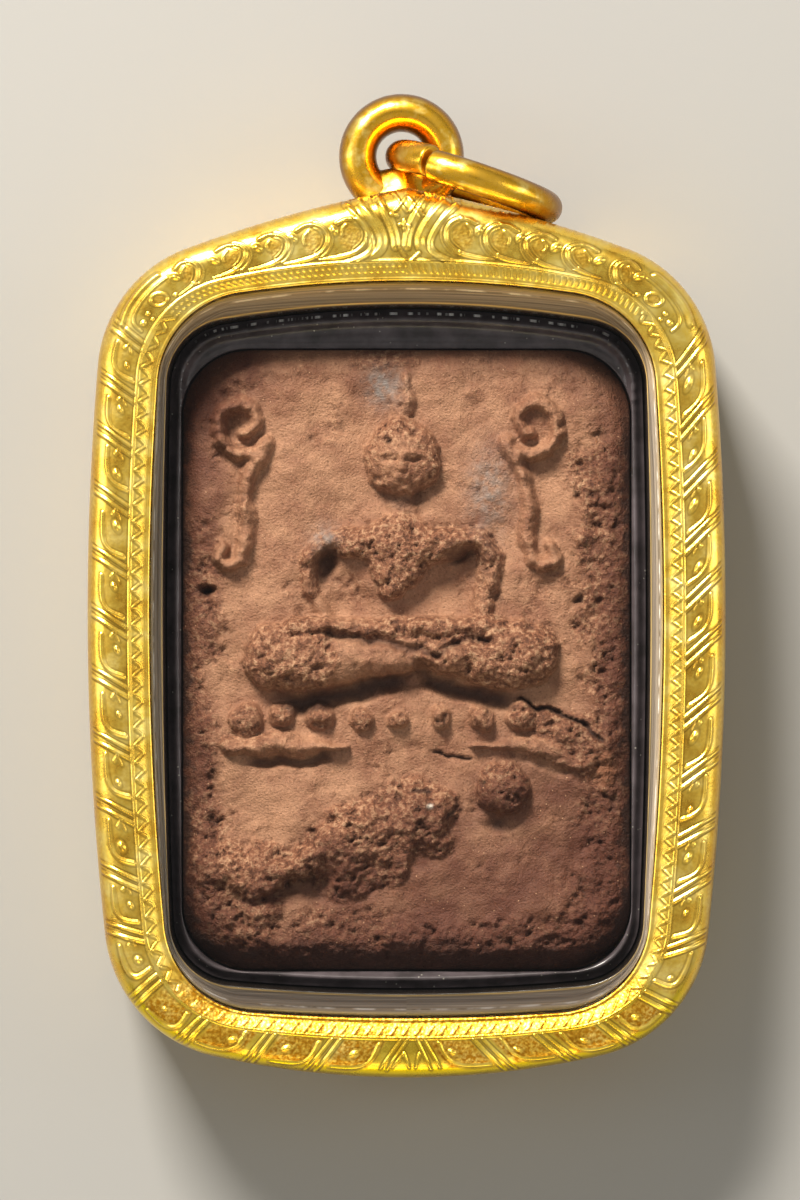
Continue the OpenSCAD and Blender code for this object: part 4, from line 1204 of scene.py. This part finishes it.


# The cast relief: its height, how worn it is and how much shade is painted in its hollows
def castRelief(x, y):
    lift, worn, hollow = (np.zeros(len(x)) for k in range(3))
    xw = x + noiseField(x, y, 1.3, 3, 3.3) * 0.22
    yw = y + noiseField(x, y, 1.3, 3, 9.1) * 0.22
    # the worn ridge across the foot wanders more than the figure does
    loose = smoothStep(-y, 6.5, 9.0) * smoothStep(-x, -3.6, -2.2)
    xw = xw + 0.9 * loose * noiseField(x, y, 2.6, 4, 12.1)
    yw = yw + 0.9 * loose * noiseField(x, y, 2.6, 4, 15.3)
    for form in tablet["figure"] + vineForms():
        height, q = domeHeight(xw, yw, form)
        lift = blendMax(lift, height, tablet["blend"])
        worn = np.maximum(worn, form[5] * (1 - smoothStep(q, 0.85, 1.1)))
    for form in tablet["face"]:
        lift += domeHeight(x, y, form)[0]
    for lid in tablet["lids"]:
        lift -= raisedLine(x, y, lid, 0.15, 0.2)
    for bx, by, radius in tablet["buds"]:
        q = np.hypot(xw - bx, yw - by) / radius
        lift = blendMax(lift, 0.85 * np.sqrt(np.clip(1 - q * q, 0, None)), tablet["blend"])
        worn = np.maximum(worn, 0.75 * (1 - smoothStep(q, 0.7, 1.1)))
    for hx, hy, rx, ry, depth, dark in tablet["hollows"]:
        dip = np.exp(-(((xw - hx) / rx) ** 2 + ((yw - hy) / ry) ** 2) ** 1.5)
        lift -= depth * dip
        hollow = np.maximum(hollow, dip * dark)
        worn *= 1 - dip * (depth > 0.25) * 0.9
    for path, radius, depth, dark in tablet["cuts"]:
        cut = raisedLine(xw, yw, path, radius, 1.0)
        for endX, endY in (path[0], path[-1]):
            cut *= smoothStep(np.hypot(xw - endX, yw - endY), 0.0, radius * 2.2)
        lift -= depth * cut * np.clip(1 - lift, 0.1, 1)
        hollow = np.maximum(hollow, cut * dark * (lift < 0.6))
    for path, radius, depth, dark in tablet["folds"]:
        fold = raisedLine(xw, yw, path, radius, 1.0)
        lift -= depth * fold
        hollow = np.maximum(hollow, fold * dark)
    return lift, worn, hollow


# How worn each place is, once the margins are rubbed rough on the right, low on the left and along
# the foot, but not at the top
def wornMargins(x, y, worn, fromEdge, ragged):
    margin = 1 - smoothStep(fromEdge + ragged * 1.6 - 0.9 * smoothStep(x, 4, 9), 1.2, 3.0)
    margin *= np.clip(0.15 + smoothStep(x, 6, 10) * (1 - smoothStep(y, 11, 14)) + smoothStep(-y, 9, 13)
                      + smoothStep(-x, 8, 10.5) * (1 - smoothStep(y, 5, 9)), 0, 1)
    foot = 0.8 * (1 - smoothStep(y + tabletHalf[1] + ragged * 1.2, 2.2, 3.6))
    worn = np.clip(np.maximum.reduce([worn, margin * 0.95, foot]), 0, 1)
    return np.clip(worn + 0.4 * smoothStep(noiseField(x, y, 2.8, 4, 7.9), 0.15, 0.6), 0, 1)


# Dirt, and a darker, redder tone at the foot, the right, the margins and round the knob: firing and painted
# shade
def firedMarks(x, y, worn, hollow, grit, fromEdge, ragged):
    stain = np.zeros(len(x))
    for sx, sy, wide, high, strength in tablet["stains"]:
        stain += np.exp(-((x - sx) ** 2 / wide + (y - sy) ** 2 / high)) * strength
    # painted shade darkens its ragged very edge and its lowest edge
    broken = noiseField(x, y, 0.7, 3, 2.9)
    edgeShade = 1 - smoothStep(fromEdge + 0.6 * broken, 0.1, 0.5)
    hollow = np.maximum(hollow, edgeShade * (0.85 - 0.55 * smoothStep(y, 12, 15)))
    footShade = smoothStep(-y + 0.9 * ragged, tabletHalf[1] - 2.2, tabletHalf[1] - 0.5)
    # darker towards the bottom right, at the margins and round the knob: firing and painted shade
    fired = smoothStep(-0.8 * y + 0.35 * x + 3.0 * ragged, 3.0, 13.5)
    edge = 1 - smoothStep(fromEdge + ragged * 1.5, 0.5, 3.2)
    topMiddle = smoothStep(y, 10, 15) * (1 - smoothStep(np.abs(x), 6, 9))
    foot = smoothStep(-y + 0.6 * ragged, tabletHalf[1] - 3.2, tabletHalf[1] - 1.0)
    fired = np.maximum.reduce([fired, edge * (0.8 - 0.5 * topMiddle), 1.15 * foot])
    fired += 0.6 * np.exp(-((x - 5.3) ** 2 + (y + 7.2) ** 2) / 1.8)
    fired = np.clip(fired + 0.3 * noiseField(x, y, 3.5, 3, 1.7) * (fired > 0.02), 0, 1) * 0.92
    marks = {"worn": worn, "stain": np.clip(stain * (0.8 + 0.9 * grit), 0, 0.9),
             "hollow": np.maximum(hollow, 0.6 * footShade), "fired": fired}
    for mark in ("spall", "chip"):
        mx, my, wide, high, strength = tablet[mark]
        marks[mark] = strength * np.exp(-(((x - mx) / wide) ** 2 + ((y - my) / high) ** 2) ** 2)
    return marks


def tabletShape(column, row):
    half, corner = tabletHalf, tablet["corner"]
    y = (2 * row / tablet["rows"] - 1) * half[1]
    over = np.clip(np.abs(y) - (half[1] - corner), 0, corner)
    wide = half[0] - corner + np.sqrt(corner ** 2 - over ** 2)
    x = (2 * column / tablet["columns"] - 1) * wide
    fromEdge = insideEdge(x, y)
    ragged = noiseField(x, y, 2.2, 4, 5.7)
    lift, worn, hollow = castRelief(x, y)
    worn = wornMargins(x, y, worn, fromEdge, ragged)
    # the face keeps more of the mould's skin than the head round it
    face = np.exp(-(((x + 0.25) / 1.45) ** 2 + ((y - 10.9) / 1.45) ** 2) ** 2)
    worn = worn * (1 - 0.5 * face)
    grains = grainField(x, y, 0.31, 0.5)
    coarse = noiseField(x, y, 0.8, 4, 2.1)
    grit = noiseField(x, y, 0.3, 3, 4.4)
    crumbs = noiseField(x, y, 1.5, 4, 6.2)
    rough = 0.1 * (grains - 0.45) + 0.2 * coarse + 0.06 * grit + 0.16 * crumbs
    lift += worn * rough + (1 - worn) * (0.03 * coarse + 0.022 * grit)
    swell = 0.28 * noiseField(x, y, 4.2, 3, 8.8) + 0.1 * noiseField(x, y, 1.9, 3, 6.6)
    lift += swell * (1 - smoothStep(lift, 0.3, 1.0))
    pits = smoothStep(-(grains - 0.45) * 0.5 - coarse * 0.9 - grit * 0.35, 0.4, 0.72)
    pits = pits * (1 - 0.85 * face)
    lift -= pits * 0.16 * worn
    near = np.clip((tablet["edge"] - fromEdge) / tablet["edge"], 0, 1.6)
    low = smoothStep(-y, half[1] - 2.3, half[1] - 0.2)
    z = tabletLow[2] + tablet["plain"] + lift * np.clip(fromEdge / tablet["edge"], 0, 1)
    z -= np.clip(tablet["drop"] * near ** 2 + 0.7 * low ** 2, 0, 1.9)
    # painted shade in the pits
    hollow = np.clip(hollow + pits * (0.05 + 0.35 * worn), 0, 1)
    marks = firedMarks(x, y, worn, hollow, grit, fromEdge, ragged)
    plan = np.column_stack([x, y]) + tabletMiddle
    return np.column_stack([plan, z]), x, y, marks


def makeTablet():
    mesh = gridMesh("clayTablet", tablet["columns"], tablet["rows"], tabletShape)
    bm = openMesh(mesh)
    bmesh.ops.remove_doubles(bm, verts=bm.verts, dist=0.0005 * mm)
    centre = Vector((*tabletMiddle, 0)) * mm
    # down the side in steps that round its back edge, then across the back
    edges = [e for e in bm.edges if e.is_boundary]
    backZ = tabletLow[2] * mm
    for level, shrink in tablet["side"]:
        made = bmesh.ops.extrude_edge_only(bm, edges=edges)["geom"]
        edges = [e for e in made if isinstance(e, bmesh.types.BMEdge)]
        for v in {v for e in edges for v in e.verts}:
            v.co.z = backZ + level * tablet["plain"] * mm
            v.co.x = centre.x + (v.co.x - centre.x) * shrink
            v.co.y = centre.y + (v.co.y - centre.y) * shrink
    back = bmesh.ops.contextual_create(bm, geom=edges)["faces"]
    bmesh.ops.poke(bm, faces=back)
    finishPiece(keepMesh(bm, mesh), firedClay, "case", "tablet")


makeTablet()
print("pieces made")

# Plain pale floor: mat paper, a metre and a half to each side
floorPaper = {"color": "#8C8A86", "rough": 0.9, "reach": 1.5}


def makeFloor():
    material, tree = newMaterial("matPaper")
    shader = addNode(tree, "BsdfPrincipled", None, {
        "Base Color": linear(floorPaper["color"]), "Roughness": floorPaper["rough"]})
    addNode(tree, "OutputMaterial", None, {"Surface": shader.outputs["BSDF"]})
    bm = bmesh.new()
    bmesh.ops.create_grid(bm, x_segments=4, y_segments=4, size=floorPaper["reach"])
    mesh = bpy.data.meshes.new("floor")
    bm.to_mesh(mesh)
    bm.free()
    mesh.materials.append(material)
    floor = bpy.data.objects.new("floor", mesh)
    bpy.context.scene.collection.objects.link(floor)


makeFloor()

# Camera straight above, and soft lights round it. All but "sensor" is in millimetres of the scene:
# "tall" is how much of it the picture shows from top to bottom.
view = {"x": -0.364, "y": -0.924, "height": 300.0, "tall": 67.2, "sensor": 36.0}
lights = {
    # place in metres, width, height, watts, colour
    "key": ((-0.13, 0.31, 0.25), 0.13, 0.09, 5.0, "#FFFAF2"),
    "left": ((-0.36, 0.06, 0.20), 0.08, 0.26, 0.22, "#FFFFFF"),
    "right": ((0.36, 0.08, 0.20), 0.08, 0.26, 0.22, "#FFFFFF"),
    "near": ((0.0, -0.36, 0.20), 0.26, 0.08, 0.14, "#FFEFB0"),
    "lowLeft": ((-0.42, 0.0, 0.08), 0.06, 0.5, 0.28, "#FFFFFF"),
    "lowRight": ((0.42, 0.0, 0.08), 0.06, 0.5, 0.28, "#FFFFFF"),
    "lowNear": ((0.0, -0.42, 0.08), 0.5, 0.06, 0.5, "#FFE98C"),
}
# a soft white tent, open straight above, where the camera looks in: sine of the height above the
# horizon, and brightness
tent = [(0.0, 0.26), (0.45, 0.42), (0.62, 0.5), (0.984, 0.5), (0.995, 0.08)]


def makeCamera():
    camera = bpy.data.objects.new("camera", bpy.data.cameras.new("camera"))
    bpy.context.scene.collection.objects.link(camera)
    camera.location = Vector((view["x"], view["y"], midZ + view["height"])) * mm
    camera.data.sensor_fit = "VERTICAL"
    camera.data.sensor_height = view["sensor"]
    camera.data.lens = view["sensor"] * view["height"] / view["tall"]
    camera.data.clip_start = 0.01
    bpy.context.scene.camera = camera


def makeLights():
    for name, (place, width, height, watts, color) in lights.items():
        lamp = bpy.data.lights.new(name, "AREA")
        lamp.shape = "RECTANGLE"
        lamp.size, lamp.size_y, lamp.energy = width, height, watts
        lamp.color = linear(color)[:3]
        light = bpy.data.objects.new(name, lamp)
        bpy.context.scene.collection.objects.link(light)
        light.location = place
        light.rotation_euler = (-Vector(place)).to_track_quat("-Z", "Y").to_euler()
    world = bpy.data.worlds.new("tent")
    world.use_nodes = True
    tree = world.node_tree
    tree.nodes.clear()
    toSky = addNode(tree, "TexCoord").outputs["Generated"]
    height = addNode(tree, "SeparateXYZ", None, {"Vector": toSky})
    glow = addNode(tree, "ValToRGB", None, {"Fac": height.outputs["Z"]}, [
        (at, (level, level, level, 1)) for at, level in tent])
    sky = addNode(tree, "Background", None, {"Color": glow.outputs["Color"]})
    addNode(tree, "OutputWorld", None, {"Surface": sky.outputs["Background"]})
    bpy.context.scene.world = world
    bpy.context.scene.view_settings.view_transform = "Standard"


makeCamera()
makeLights()
print("scene lit")
